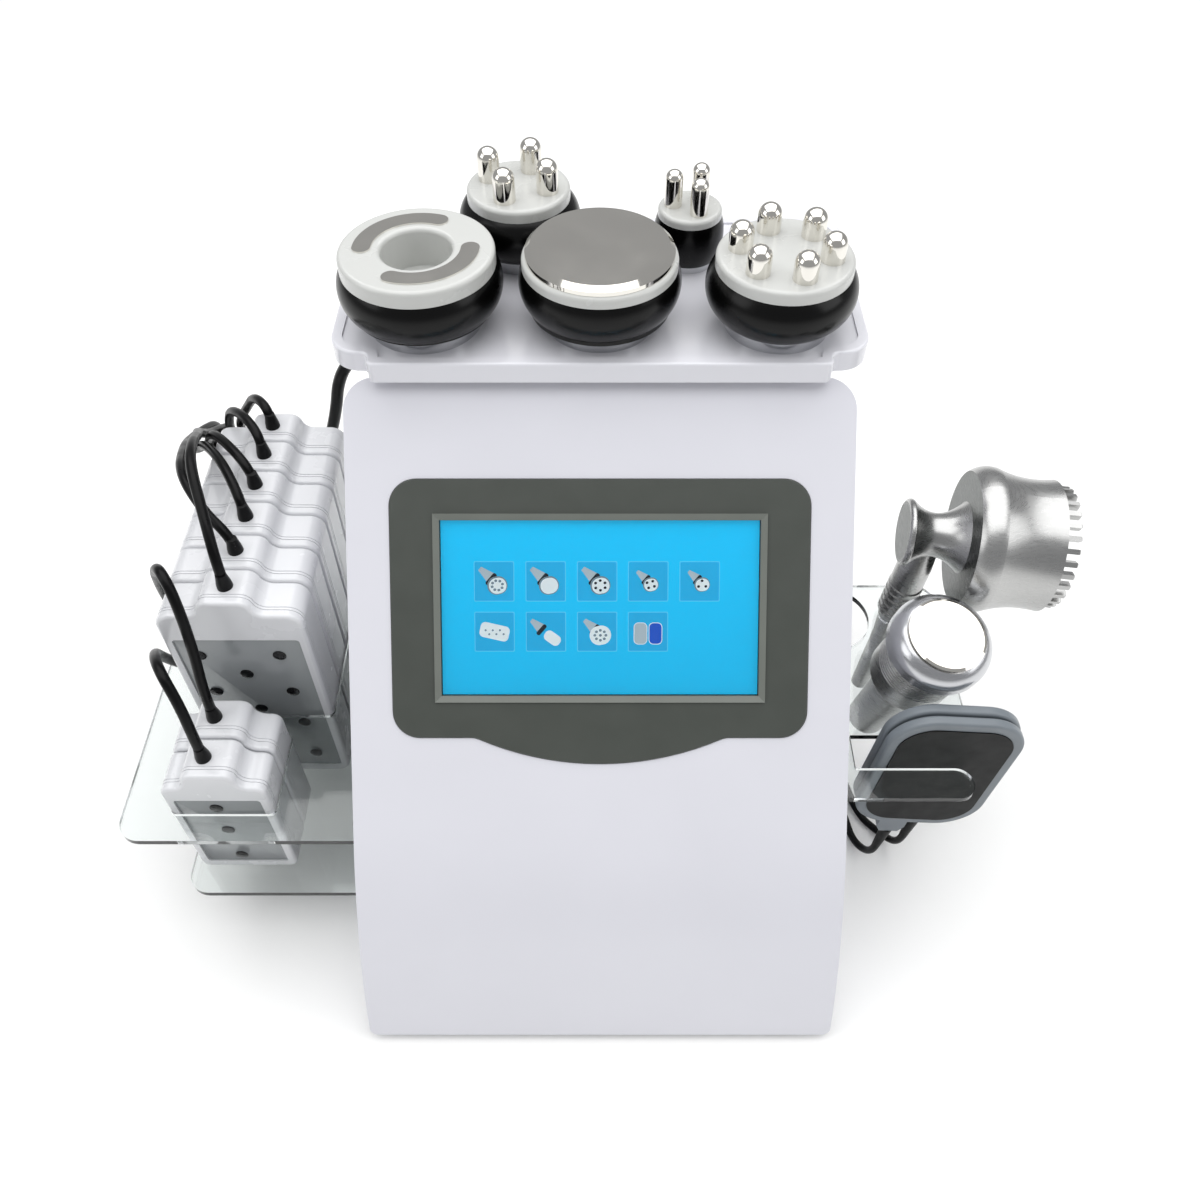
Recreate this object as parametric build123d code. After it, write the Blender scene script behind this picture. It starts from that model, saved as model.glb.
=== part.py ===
from build123d import *
import math
import os

# Desktop body-contouring console: a wedge housing with a touch screen, a shelf of five
# handpieces on top, a clear tray of laser pads on the left and a clear holder of
# handpieces and electrode pads on the right. Millimetres, +Z up, the screen faces -Y.
# The origin is on the table, in the middle of the footprint.

OVERRUN = 20.0        # how far a cutting body runs past what it cuts
FIT_GAP = 0.3         # gap round a piece that only drops into its place
HAIR_GAP = 0.1        # gap between flat pieces of one assembly

# Housing
HOUSING_WIDTH = 280.0
WALL = 3.0
PANEL_ANGLE = 46.15            # degrees from the table
PANEL_TOP_Y = 57.6
PANEL_TOP_Z = 311.0
PANEL_STRAIGHT = 253.5         # from the top edge to the start of the belly curve
BELLY_RADIUS = 316.0
REAR_Y = 62.0
TOP_CORNER_RADIUS = 18.0
FOOT_CORNER_RADIUS = 5.0
PANEL_EDGE_RADIUS = 2.0

# Screen
SCREEN_WIDTH = 177.0
SCREEN_HEIGHT = 98.0
SCREEN_MID = 126.5             # down the slope from the top edge
BEZEL_SIDE = 27.5
BEZEL_UPPER = 22.5
BEZEL_LOWER = 24.0
BEZEL_WIDTH = SCREEN_WIDTH + 2 * BEZEL_SIDE
BEZEL_HEIGHT = BEZEL_UPPER + SCREEN_HEIGHT + BEZEL_LOWER
BEZEL_TOP = SCREEN_MID - SCREEN_HEIGHT / 2 - BEZEL_UPPER
BEZEL_CORNER = 15.0
BEZEL_THICK = 2.6
BEZEL_PROUD = 1.0
BELLY_TAB_WIDTH = 140.0
BELLY_TAB_DROP = 15.0
BELLY_TAB_BLEND = 12.0
FRAME_BORDER = 3.6
FRAME_STEP = 1.0
GLASS_LAP = 5.0
GLASS_THICK = 1.6
PICTURE_GAP = 0.4              # between the glass and the lit panel
MODULE_THICK = 8.0
BOARD_THICK = 1.6
BOARD_STANDOFF = 6.0
STANDOFF_RADIUS = 3.0

# Base and rear
BASE_THICK = 2.5
VENT_XS = (-32.0, -16.0, 0.0, 16.0, 32.0)
VENT_Y = -120.0
VENT_LENGTH = 46.0
VENT_WIDTH = 5.0
FOOT_RADIUS = 12.0
FOOT_INSET = 28.0
FOOT_X = HOUSING_WIDTH / 2 - FOOT_INSET
FOOT_HEIGHT = 6.1
FOOT_FRONT_Y = -150.0
FOOT_REAR_Y = 36.0
FOOT_TAPER = 1.5
PANEL_THICK = 2.5
SOCKET_RADIUS = 8.0
SOCKET_HOLE = 5.0
SOCKET_REACH = 7.0
SOCKET_UPPER_Z = 132.0
SOCKET_LOWER_Z = 98.0
SOCKET_PITCH = 37.0
SOCKETS_UPPER = 7
PAD_SOCKET_X = -112.0
SOLE_SOCKETS_X = (84.0, 112.0)
INLET_X = 84.0
INLET_Z = 40.0
INLET_WIDTH = 28.0
INLET_HEIGHT = 22.0
INLET_DEPTH = 24.0
INLET_FLANGE = 5.0
SWITCH_X = 40.0
SWITCH_WIDTH = 20.0
SWITCH_HEIGHT = 26.0
SWITCH_FRAME = 2.5
ROCKER_DEPTH = 12.0
ROCKER_PROUD = 3.0
ROCKER_PIN = 1.5
PIN_CLEAR = 0.05
ROCKER_ANGLE = 8.0
FAN_X = -40.0
FAN_Z = 46.0
FAN_SIZE = 60.0
FAN_DEPTH = 15.0
FAN_BORE = 27.5
FAN_HUB = 12.0
FAN_BLADES = 7
BLADE_TIP_GAP = 1.2
BLADE_THICK = 1.6
BLADE_PITCH = 35.0
FAN_PIN = 2.0
GUARD_RINGS = 3
GUARD_BAR = 2.4

# Inside
SUPPLY_SIZE = (110.0, 70.0, 38.0)
SUPPLY_INSET = 80.0
SUPPLY_X = HOUSING_WIDTH / 2 - SUPPLY_INSET
SUPPLY_Y = -55.0
SUPPLY_SLOTS = 8
SUPPLY_SLOT = 3.0
PUMP_RADIUS = 22.0
PUMP_LENGTH = 60.0
PUMP_HEAD = 50.0
PUMP_HEAD_DEPTH = 28.0
PUMP_INSET = 70.0
PUMP_X = PUMP_INSET - HOUSING_WIDTH / 2
PUMP_Y = -60.0
BARB_RADIUS = 4.0
BARB_LENGTH = 12.0

# Handpiece shelf
SHELF_TOP = 325.0
SHELF_PLATE = 4.0
SHELF_DEPTH = 11.0
SHELF_OVERHANG = 6.0
SHELF_HALF = HOUSING_WIDTH / 2 + SHELF_OVERHANG
SHELF_FRONT_Y = 59.0
SHELF_BACK_Y = 194.0
SHELF_CORNER = 17.0
TONGUE_INSET = 16.0
TONGUE_HALF = HOUSING_WIDTH / 2 - TONGUE_INSET
TONGUE_Y = 49.0
TONGUE_CORNER = 4.0
SHELF_RIM = 6.0
SHELF_RIM_RISE = 1.2
SHELF_EDGE = 1.4
SHELF_SKIRT = 3.0
BRACKET_THICK = 2.0
BRACKET_INSET = 22.0
BRACKET_HALF = HOUSING_WIDTH / 2 - BRACKET_INSET
BRACKET_LOW_Z = 225.0
BRACKET_FLANGE = 8.0
GUSSET_X = 48.0
GUSSET_REACH = 58.0
GUSSET_STRAP = 16.0

# Handpieces that stand in the shelf: place, then the sizes of their turned forms
HANDLE_DROP = 150.0
RING_RISE = 7.5                # silver base ring above the shelf
BULB_RISE = 27.5
BULB_WALL = 3.0
CAP_PLUG = 4.0
CAP_EDGE = 2.5
RING_PLACE = (-96.0, 90.0)
RING_BULB_RADIUS = 44.3
RING_CAP_RADIUS = 41.3
RING_BASE_RADIUS = 32.5
RING_GRIP_RADIUS = 20.0
RING_CAP_RISE = 9.0
CUP_RADIUS = 18.8
CUP_DEPTH = 22.0
CUP_WALL = 2.0
CUP_LIP = 2.5
ARC_INNER = 23.6
ARC_OUTER = 33.4
ARC_THICK = 1.5
ARC_STARTS = (70.0, -110.0)
ARC_SPAN = 110.0
CAVITATION_PLACE = (0.0, 90.0)
CAVITATION_BULB_RADIUS = 43.5
CAVITATION_RIM_RADIUS = 41.5
CAVITATION_BASE_RADIUS = 31.4
CAVITATION_GRIP_RADIUS = 20.0
CAVITATION_RIM_RISE = 6.0
HORN_RADIUS = 39.5
HORN_FACE_RADIUS = 36.8
HORN_RISE = 5.0
SIX_PLACE = (97.0, 88.0)
SIX_BULB_RADIUS = 40.8
SIX_CAP_RADIUS = 36.5
SIX_BASE_RADIUS = 30.5
SIX_GRIP_RADIUS = 19.0
SIX_CAP_RISE = 7.0
SIX_PIN_RADIUS = 6.5
SIX_PIN_LENGTH = 15.6
SIX_PIN_CIRCLE = 24.0
SIX_PIN_TURN = -13.0
FOUR_PLACE = (-46.0, 158.0)
FOUR_BULB_RADIUS = 34.8
FOUR_CAP_RADIUS = 29.3
FOUR_BASE_RADIUS = 26.0
FOUR_GRIP_RADIUS = 16.0
FOUR_CAP_RISE = 7.0
FOUR_PIN_RADIUS = 6.2
FOUR_PIN_LENGTH = 18.7
FOUR_PIN_CIRCLE = 18.0
FOUR_PIN_TURN = -22.0
THREE_PLACE = (51.0, 150.0)
THREE_BULB_RADIUS = 20.0
THREE_CAP_RADIUS = 18.2
THREE_BASE_RADIUS = 17.0
THREE_GRIP_RADIUS = 12.5
THREE_CAP_RISE = 5.0
THREE_BULB_DROP = 6.0          # the smallest head stands lower than the others
THREE_PIN_RADIUS = 5.0
THREE_PIN_LENGTH = 20.7
THREE_PIN_CIRCLE = 9.8
THREE_PIN_TURN = -65.0
GLAND_RADIUS = 5.0
GLAND_LENGTH = 12.0

# Laser pads
PAD_WIDTH = 83.0
PAD_SIDE_GAP = 27.0            # from the casing's side to the large pads
PAD_LEFT_X = -(HOUSING_WIDTH / 2 + PAD_SIDE_GAP + PAD_WIDTH)
PAD_HEIGHT = 164.0             # to the shoulder
PAD_HUMP = 11.0
PAD_HUMP_WIDTH = 17.0
PAD_HUMP_BLEND = 14.0
PAD_THICK = 26.4
PAD_PITCH = 27.0
PAD_COUNT = 6
PAD_FRONT_Y = -33.0
PAD_CORNER = 9.0
PAD_EDGE = 2.2
PAD_SEAM = 1.0
PAD_SEAM_BACK = 5.0            # from the pad's front to its first seam line
WINDOW_BORDER = 5.0
WINDOW_TOP_DROP = 21.0
WINDOW_FOOT = 7.0
WINDOW_DEPTH = 1.6
SMALL_WIDTH = 60.0
SMALL_HEIGHT = 94.0
SMALL_HUMP = 13.6
SMALL_THICK = 26.0
SMALL_COUNT = 2
SMALL_FRONT_Y = -102.0
SLOT_GAP = 0.8

# Clear holders
SHEET = 4.0
HOLDER_WALL_X = HOUSING_WIDTH / 2
TRAY_TOP = 120.0
TRAY_MARGIN = 28.5             # room for the leads beside the pads
TRAY_LEFT_X = PAD_LEFT_X - TRAY_MARGIN
TRAY_FRONT_Y = -120.0
TRAY_BACK_Y = 188.0
TRAY_CORNER = 14.0
FLOOR_TOP = 52.0
FLOOR_MARGIN = 7.0
FLOOR_LEFT_X = PAD_LEFT_X - FLOOR_MARGIN
FLOOR_BACK_Y = 138.0
TRAY_WALL_FRONT_Y = -108.0
TRAY_WALL_BACK_Y = 58.0
TRAY_WALL_LOW_Z = 40.0
TRAY_SCREW_RADIUS = 2.5
HOLDER_TOP = 130.0
HOLDER_REACH = 84.0
HOLDER_RIGHT_X = HOLDER_WALL_X + HOLDER_REACH
HOLDER_FRONT_Y = -55.0
HOLDER_BACK_Y = 65.0
HOLDER_CORNER = 14.0
HOLDER_WALL_LOW_Z = 98.0
FINGER_FRONT_Y = -98.0
FINGER_WIDTH = 20.0
FINGER_REACH = 79.0
FINGER_RIGHT_X = HOLDER_WALL_X + FINGER_REACH
FINGER_ROOT = 11.0
FINGER_ROOT_X = HOLDER_WALL_X + FINGER_ROOT
NOTCH_X = FINGER_ROOT_X
NOTCH_Y = 37.0
NOTCH_RADIUS = 26.0

# Photon massager, built upright about its head centre and leaned on its handle
PHOTON_LEAN = 5.2              # degrees to the right
HEAD_LEAN = 1.9
HEAD_TURN = -6.2               # degrees that the comb turns to the front
PHOTON_SIDE = 60.1             # from the casing's side
PHOTON_CENTRE = (HOUSING_WIDTH / 2 + PHOTON_SIDE, 40.7, 205.4)
KNOB_REACH = 15.9
KNOB_RADIUS = 20.4
WAIST_RADIUS = 13.6
DRUM_BACK = 19.4
DRUM_NECK_RADIUS = 21.9
DRUM_BACK_RADIUS = 40.5
DRUM_SEAM = 33.6
DRUM_SEAM_RADIUS = 43.8
DRUM_DIP = 51.5
DRUM_DIP_RADIUS = 39.4
DRUM_FRONT = 68.4
DRUM_FRONT_RADIUS = 40.0
DRUM_WALL = 3.0
COMB_TEETH = 30
COMB_INNER = 31.8
COMB_REACH = 9.0
COMB_BASE = 3.0
TOOTH_THICK = 3.0
TOOTH_TALL = 4.6
LENS_THICK = 3.0
PHOTON_GRIP_RADIUS = 10.7
PHOTON_RING_RADIUS = 10.4
PHOTON_TAIL_RADIUS = 6.8
PHOTON_GRIP_END = 42.8
PHOTON_RINGS_END = 70.0
PHOTON_TAIL_END = 158.0
PHOTON_SEAT = 96.0            # where the cone that sits in the clear plate ends
PHOTON_RINGS = 5

# Cold probe
PROBE_LEAN = 6.6               # degrees to the right
PROBE_TILT = 14.2              # degrees to the front
PROBE_SIDE = 57.3              # from the casing's side
PROBE_FACE = (HOUSING_WIDTH / 2 + PROBE_SIDE, -33.0, 199.6)
PROBE_FACE_RADIUS = 22.7
PROBE_FACE_RISE = 1.6
PROBE_COLLAR_RADIUS = 30.0
PROBE_SHOULDER = 12.0
PROBE_COLLAR_LENGTH = 20.0
PROBE_BODY_RADIUS = 25.0
PROBE_BODY_END = 58.0
PROBE_TAIL_RADIUS = 15.5
PROBE_TAIL_END = 140.0
PROBE_RIBS = 8
PROBE_RIB_PITCH = 2.6
PROBE_RIB_DEPTH = 0.8

# Electrode pads
SOLE_PAD_SIDE = 62.0           # from the casing's side
SOLE_PAD_CENTRE = (HOUSING_WIDTH / 2 + SOLE_PAD_SIDE, 118.0)
SOLE_PAD_WIDTH = 80.5
SOLE_PAD_HEIGHT = 113.0
SOLE_PAD_CORNER = 26.0
SOLE_PAD_LEAN = 5.0
SOLE_PAD_THICK = 6.5
SOLE_PAD_FRONT_Y = -77.2
SOLE_PAD_PITCH = 8.1
SOLE_BORDER = 6.5
SOLE_SINK = 1.2
SOLE_THICK = 1.8
SPOUT_OFFSET = 6.0
SPOUT_WIDTH = 18.0
SPOUT_LENGTH = 11.0
BOOT_RADIUS = 4.0
BOOT_LENGTH = 26.0

# Leads
PAD_LEAD_RADIUS = 3.0
TRUNK_RADIUS = 4.0
SOLE_LEAD_RADIUS = 2.5
SPLITTER_SIZE = (24.0, 30.0, 40.0)
PLUG_RADIUS = 9.0
PLUG_LENGTH = 26.0

SIN_PANEL = math.sin(math.radians(PANEL_ANGLE))
COS_PANEL = math.cos(math.radians(PANEL_ANGLE))
BELLY_CENTRE_Y = PANEL_TOP_Y - PANEL_STRAIGHT * COS_PANEL + BELLY_RADIUS * SIN_PANEL
BELLY_CENTRE_Z = PANEL_TOP_Z - PANEL_STRAIGHT * SIN_PANEL - BELLY_RADIUS * COS_PANEL
HOUSING_LOW_Z = FOOT_HEIGHT
BELLY_END_ANGLE = math.pi - math.asin((HOUSING_LOW_Z - BELLY_CENTRE_Z) / BELLY_RADIUS)
BELLY_TURN = math.degrees(BELLY_END_ANGLE) - 90 - PANEL_ANGLE
HOUSING_FRONT_Y = BELLY_CENTRE_Y + BELLY_RADIUS * math.cos(BELLY_END_ANGLE)
BASE_TOP = HOUSING_LOW_Z + BASE_THICK
REAR_INNER_Y = REAR_Y - PANEL_THICK


def panel_plane(depth=0):
    """The slanted front: local +Y runs up the slope, local Z points out of the panel."""
    origin = (0, PANEL_TOP_Y + depth * SIN_PANEL, PANEL_TOP_Z - depth * COS_PANEL)
    return Plane(origin=origin, x_dir=(1, 0, 0), z_dir=(0, -SIN_PANEL, COS_PANEL))


def turned(points, axis_place):
    """A body turned about the vertical through axis_place, from (radius, height) points."""
    outline = Plane.XZ * make_face(Polyline(*points, close=True))
    return Pos(*axis_place) * revolve(outline, Axis.Z)


def upright_cylinder(place, low, high, radius):
    height = high - low
    return Pos(place[0], place[1], low) * Cylinder(
        radius, height, align=(Align.CENTER, Align.CENTER, Align.MIN))


def block(low, high):
    size = [high[i] - low[i] for i in range(len(low))]
    return Pos(*low) * Box(*size, align=(Align.MIN, Align.MIN, Align.MIN))


def along_y(place, reach, radius):
    """A cylinder that starts at place and runs along +Y."""
    return Pos(*place) * Rot(-90, 0, 0) * Cylinder(
        radius, reach, align=(Align.CENTER, Align.CENTER, Align.MIN))


# Housing

def wedge(inset, low, rear, half_width):
    """The housing's side outline, drawn inset from the front, swept to both sides."""
    start = (PANEL_TOP_Y - inset * COS_PANEL + inset * SIN_PANEL,
             PANEL_TOP_Z - inset * SIN_PANEL - inset * COS_PANEL)
    radius = BELLY_RADIUS - inset
    angles = [math.radians(90 + PANEL_ANGLE + BELLY_TURN * share) for share in (0, 1 / 2, 1)]
    curve = [(BELLY_CENTRE_Y + radius * math.cos(a), BELLY_CENTRE_Z + radius * math.sin(a))
             for a in angles]
    top_rear = (rear, start[1] - (rear - start[0]) * COS_PANEL / SIN_PANEL)
    floor = [(rear, low), top_rear, start, curve[0]]
    if low < curve[-1][1]:
        floor.insert(0, (curve[-1][0], low))
    outline = Polyline(curve[-1], *floor) + ThreePointArc(*curve)
    return extrude(Plane.YZ * make_face(outline), half_width, both=True)


def bezel_outline(grow=0):
    """The dark surround: a rounded rectangle with a shallow curved tab under it."""
    mid = -(BEZEL_TOP + BEZEL_HEIGHT / 2)
    low = mid - BEZEL_HEIGHT / 2
    half = BELLY_TAB_WIDTH / 2
    tab = make_face(ThreePointArc((-half, low), (0, low - BELLY_TAB_DROP), (half, low))
                    + Polyline((half, low), (half, mid), (-half, mid), (-half, low)))
    plate = Pos(0, mid) * RectangleRounded(BEZEL_WIDTH, BEZEL_HEIGHT, BEZEL_CORNER) + tab
    roots = [v for v in plate.vertices() if abs(abs(v.X) - half) < HAIR_GAP]
    plate = fillet(roots, BELLY_TAB_BLEND)
    return offset(plate, grow) if grow else plate


def make_housing_shell():
    shell = wedge(0, HOUSING_LOW_Z, REAR_Y, HOUSING_WIDTH / 2)
    top_edges = shell.edges().filter_by(
        lambda e: e.center().Z > PANEL_TOP_Z - WALL * 2 and abs(e.center().X) > WALL
        and e.length < TOP_CORNER_RADIUS)
    shell = fillet(top_edges, TOP_CORNER_RADIUS)
    foot_edges = shell.edges().filter_by(Axis.Y).sort_by(Axis.Z)[:2]
    shell = fillet(foot_edges, FOOT_CORNER_RADIUS)
    shell -= wedge(WALL, HOUSING_LOW_Z - OVERRUN, REAR_Y + OVERRUN, HOUSING_WIDTH / 2 - WALL)
    sunk = BEZEL_THICK - BEZEL_PROUD
    shell -= panel_plane() * extrude(bezel_outline(FIT_GAP), -sunk)
    opening = Pos(0, -SCREEN_MID) * Rectangle(SCREEN_WIDTH + 2 * GLASS_LAP + 2 * FIT_GAP,
                                              SCREEN_HEIGHT + 2 * GLASS_LAP + 2 * FIT_GAP)
    shell -= panel_plane() * extrude(opening, -OVERRUN)
    return shell


def make_screen_bezel():
    face = bezel_outline()
    sunk = BEZEL_THICK - BEZEL_PROUD
    bezel = extrude(face, BEZEL_THICK)
    bezel = chamfer(bezel.faces().sort_by(Axis.Z)[-1].edges(), BEZEL_PROUD / 2)
    frame = Pos(0, -SCREEN_MID, BEZEL_THICK) * Rectangle(
        SCREEN_WIDTH + 2 * FRAME_BORDER, SCREEN_HEIGHT + 2 * FRAME_BORDER)
    bezel -= extrude(frame, -FRAME_STEP)
    window = Pos(0, -SCREEN_MID) * Rectangle(SCREEN_WIDTH, SCREEN_HEIGHT)
    bezel -= extrude(window, OVERRUN)
    return panel_plane(sunk) * bezel


def screen_slab(margin, front, thick):
    """A slab behind the screen opening, its front face this deep in the panel."""
    face = Pos(0, -SCREEN_MID) * Rectangle(SCREEN_WIDTH + 2 * margin, SCREEN_HEIGHT + 2 * margin)
    return panel_plane(front) * extrude(face, -thick)


GLASS_DEPTH = BEZEL_THICK - BEZEL_PROUD


def make_display_glass():
    glass = screen_slab(GLASS_LAP, GLASS_DEPTH, GLASS_THICK)
    return glass - screen_slab(0, GLASS_DEPTH + GLASS_THICK - PICTURE_GAP, PICTURE_GAP)


def make_display_module():
    """Panel, its standoffs and the control board behind it, as separate solids."""
    front = GLASS_DEPTH + GLASS_THICK
    panel = screen_slab(GLASS_LAP / 2, front, MODULE_THICK)
    board_front = front + MODULE_THICK + BOARD_STANDOFF
    board = screen_slab(-GLASS_LAP, board_front, BOARD_THICK)
    posts = []
    for side in (-1, 1):
        for level in (-1, 1):
            place = Pos(side * (SCREEN_WIDTH / 2 - 2 * GLASS_LAP),
                        -SCREEN_MID + level * (SCREEN_HEIGHT / 2 - 2 * GLASS_LAP))
            post = extrude(place * Circle(STANDOFF_RADIUS), -BOARD_STANDOFF)
            posts.append(panel_plane(front + MODULE_THICK) * post)
    return Compound(children=[panel, board] + posts)


def make_base_plate():
    front = HOUSING_FRONT_Y + 2 * WALL
    half = HOUSING_WIDTH / 2 - WALL - FOOT_CORNER_RADIUS
    plate = block((-half, front, HOUSING_LOW_Z), (half, REAR_INNER_Y - HAIR_GAP, BASE_TOP))
    for x in VENT_XS:
        slot = Pos(x, VENT_Y, HOUSING_LOW_Z) * Rot(0, 0, 90) * extrude(
            SlotOverall(VENT_LENGTH, VENT_WIDTH), BASE_THICK)
        plate -= slot
    return plate


def make_feet():
    feet = []
    for x in (-FOOT_X, FOOT_X):
        for y in (FOOT_FRONT_Y, FOOT_REAR_Y):
            foot = turned(((0, 0), (FOOT_RADIUS - FOOT_TAPER, 0), (FOOT_RADIUS, HOUSING_LOW_Z),
                           (0, HOUSING_LOW_Z)), (x, y, 0))
            feet.append(foot)
    return Compound(children=feet)


def upper_sockets():
    first = -SOCKET_PITCH * (SOCKETS_UPPER - 1) / 2
    return [(first + SOCKET_PITCH * i, SOCKET_UPPER_Z) for i in range(SOCKETS_UPPER)]


def lower_sockets():
    return [(x, SOCKET_LOWER_Z) for x in (PAD_SOCKET_X,) + SOLE_SOCKETS_X]


def make_rear_panel():
    half = HOUSING_WIDTH / 2 - WALL - HAIR_GAP
    top = PANEL_TOP_Z - TOP_CORNER_RADIUS
    panel = block((-half, REAR_INNER_Y, HOUSING_LOW_Z), (half, REAR_Y, top))
    for x, z in upper_sockets() + lower_sockets():
        panel -= along_y((x, REAR_INNER_Y - OVERRUN, z), 2 * OVERRUN, SOCKET_HOLE + HAIR_GAP)
    panel -= along_y((FAN_X, REAR_INNER_Y - OVERRUN, FAN_Z), 2 * OVERRUN, FAN_BORE)
    for ring in range(1, GUARD_RINGS):
        middle = FAN_BORE * ring / GUARD_RINGS
        guard = along_y((FAN_X, REAR_INNER_Y, FAN_Z), PANEL_THICK, middle + GUARD_BAR / 2)
        guard -= along_y((FAN_X, REAR_INNER_Y, FAN_Z), PANEL_THICK, middle - GUARD_BAR / 2)
        panel += guard
    bars = Box(2 * FAN_BORE + GUARD_BAR, PANEL_THICK, GUARD_BAR)
    for turn in (0, 90):
        panel += Pos(FAN_X, REAR_INNER_Y + PANEL_THICK / 2, FAN_Z) * Rot(0, turn, 0) * bars
    inlet = (INLET_WIDTH + 2 * HAIR_GAP, INLET_HEIGHT + 2 * HAIR_GAP)
    switch = (SWITCH_WIDTH + 2 * SWITCH_FRAME + 2 * HAIR_GAP,
              SWITCH_HEIGHT + 2 * SWITCH_FRAME + 2 * HAIR_GAP)
    for x, size in ((INLET_X, inlet), (SWITCH_X, switch)):
        panel -= Pos(x, REAR_Y, INLET_Z) * Box(size[0], 2 * OVERRUN, size[1])
    return panel


def make_rear_connectors():
    """Round sockets, the mains inlet and the switch's frame, all as separate solids."""
    pieces = []
    for x, z in upper_sockets() + lower_sockets():
        socket = along_y((x, REAR_Y, z), SOCKET_REACH, SOCKET_RADIUS)
        socket += along_y((x, REAR_INNER_Y - WALL, z), PANEL_THICK + WALL, SOCKET_HOLE)
        socket -= along_y((x, REAR_Y + WALL, z), OVERRUN, SOCKET_HOLE)
        pieces.append(socket)
    inlet = Pos(INLET_X, REAR_Y + BASE_THICK / 2, INLET_Z) * Box(
        INLET_WIDTH + 2 * INLET_FLANGE, BASE_THICK, INLET_HEIGHT + 2 * INLET_FLANGE)
    inlet += Pos(INLET_X, REAR_Y - INLET_DEPTH / 2, INLET_Z) * Box(
        INLET_WIDTH, INLET_DEPTH, INLET_HEIGHT)
    inlet -= Pos(INLET_X, REAR_Y, INLET_Z) * Box(
        INLET_WIDTH - 2 * WALL, INLET_DEPTH, INLET_HEIGHT - 2 * WALL)
    for shift in (-1, 0, 1):
        blade = Pos(INLET_X + shift * INLET_WIDTH / 4, REAR_Y - INLET_DEPTH / 4, INLET_Z)
        inlet += blade * Box(BARB_RADIUS / 2, INLET_DEPTH / 2, BARB_RADIUS)
    frame = Pos(SWITCH_X, REAR_Y + SWITCH_FRAME / 2 - ROCKER_DEPTH / 2, INLET_Z) * Box(
        SWITCH_WIDTH + 2 * SWITCH_FRAME, ROCKER_DEPTH + SWITCH_FRAME,
        SWITCH_HEIGHT + 2 * SWITCH_FRAME)
    frame -= Pos(SWITCH_X, REAR_Y, INLET_Z) * Box(SWITCH_WIDTH, 2 * OVERRUN, SWITCH_HEIGHT)
    pin = Pos(SWITCH_X, REAR_Y - ROCKER_DEPTH / 2, INLET_Z) * Rot(0, 90, 0) * Cylinder(
        ROCKER_PIN, SWITCH_WIDTH + SWITCH_FRAME)
    return Compound(children=pieces + [inlet, frame + pin])


def make_power_switch():
    """The rocker: a shallow V seen from the side, on a pin across its frame."""
    half = SWITCH_HEIGHT / 2 - FIT_GAP - ROCKER_PROUD / 2
    deep = ROCKER_DEPTH / 2
    outline = make_face(Polyline((-deep / 2, -half / 2), (deep, -half), (deep + ROCKER_PROUD, -half),
                                 (deep, 0), (deep + ROCKER_PROUD, half), (deep, half),
                                 (-deep / 2, half / 2), close=True))
    rocker = extrude(Plane.YZ * outline, SWITCH_WIDTH / 2 - FIT_GAP, both=True)
    rocker -= Rot(0, 90, 0) * Cylinder(ROCKER_PIN + PIN_CLEAR, SWITCH_WIDTH)
    return Pos(SWITCH_X, REAR_Y - ROCKER_DEPTH / 2, INLET_Z) * rocker


def make_fan_frame():
    middle = REAR_INNER_Y - FAN_DEPTH / 2
    frame = Pos(FAN_X, middle, FAN_Z) * Box(FAN_SIZE, FAN_DEPTH, FAN_SIZE)
    frame -= along_y((FAN_X, REAR_INNER_Y - OVERRUN, FAN_Z), 2 * OVERRUN, FAN_BORE)
    back = REAR_INNER_Y - FAN_DEPTH
    frame += Pos(FAN_X, back + BASE_THICK / 2, FAN_Z) * Box(2 * FAN_BORE + WALL, BASE_THICK, WALL)
    frame += Pos(FAN_X, back + BASE_THICK / 2, FAN_Z) * Box(WALL, BASE_THICK, 2 * FAN_BORE + WALL)
    frame += along_y((FAN_X, back, FAN_Z), BASE_THICK, FAN_HUB)
    frame += along_y((FAN_X, back, FAN_Z), FAN_DEPTH - 2 * WALL, FAN_PIN)
    return frame


def make_fan_rotor():
    low = REAR_INNER_Y - FAN_DEPTH + BASE_THICK + HAIR_GAP
    reach = FAN_DEPTH - BASE_THICK - 2 * WALL / 3
    rotor = along_y((0, 0, 0), reach, FAN_HUB)
    tip = FAN_BORE - BLADE_TIP_GAP
    blade = Pos(0, reach / 2, (FAN_HUB + tip) / 2) * Rot(0, 0, BLADE_PITCH) * Box(
        BLADE_THICK, reach - WALL, tip - FAN_HUB + WALL)
    for i in range(FAN_BLADES):
        rotor += Rot(0, 360 / FAN_BLADES * i, 0) * blade
    rotor = rotor & along_y((0, 0, 0), reach, tip)
    rotor -= along_y((0, -HAIR_GAP, 0), reach - WALL / 2, FAN_PIN + PIN_CLEAR)
    return Pos(FAN_X, low, FAN_Z) * rotor


def make_power_supply():
    size = SUPPLY_SIZE
    supply = Pos(SUPPLY_X, SUPPLY_Y, BASE_TOP + size[2] / 2) * Box(*size)
    for i in range(SUPPLY_SLOTS):
        x = SUPPLY_X + (i - (SUPPLY_SLOTS - 1) / 2) * size[0] / (SUPPLY_SLOTS + 1)
        slot = Pos(x, SUPPLY_Y, BASE_TOP + size[2]) * Box(SUPPLY_SLOT, size[1] * 2 / 3, WALL)
        supply -= slot
    return supply


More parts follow.
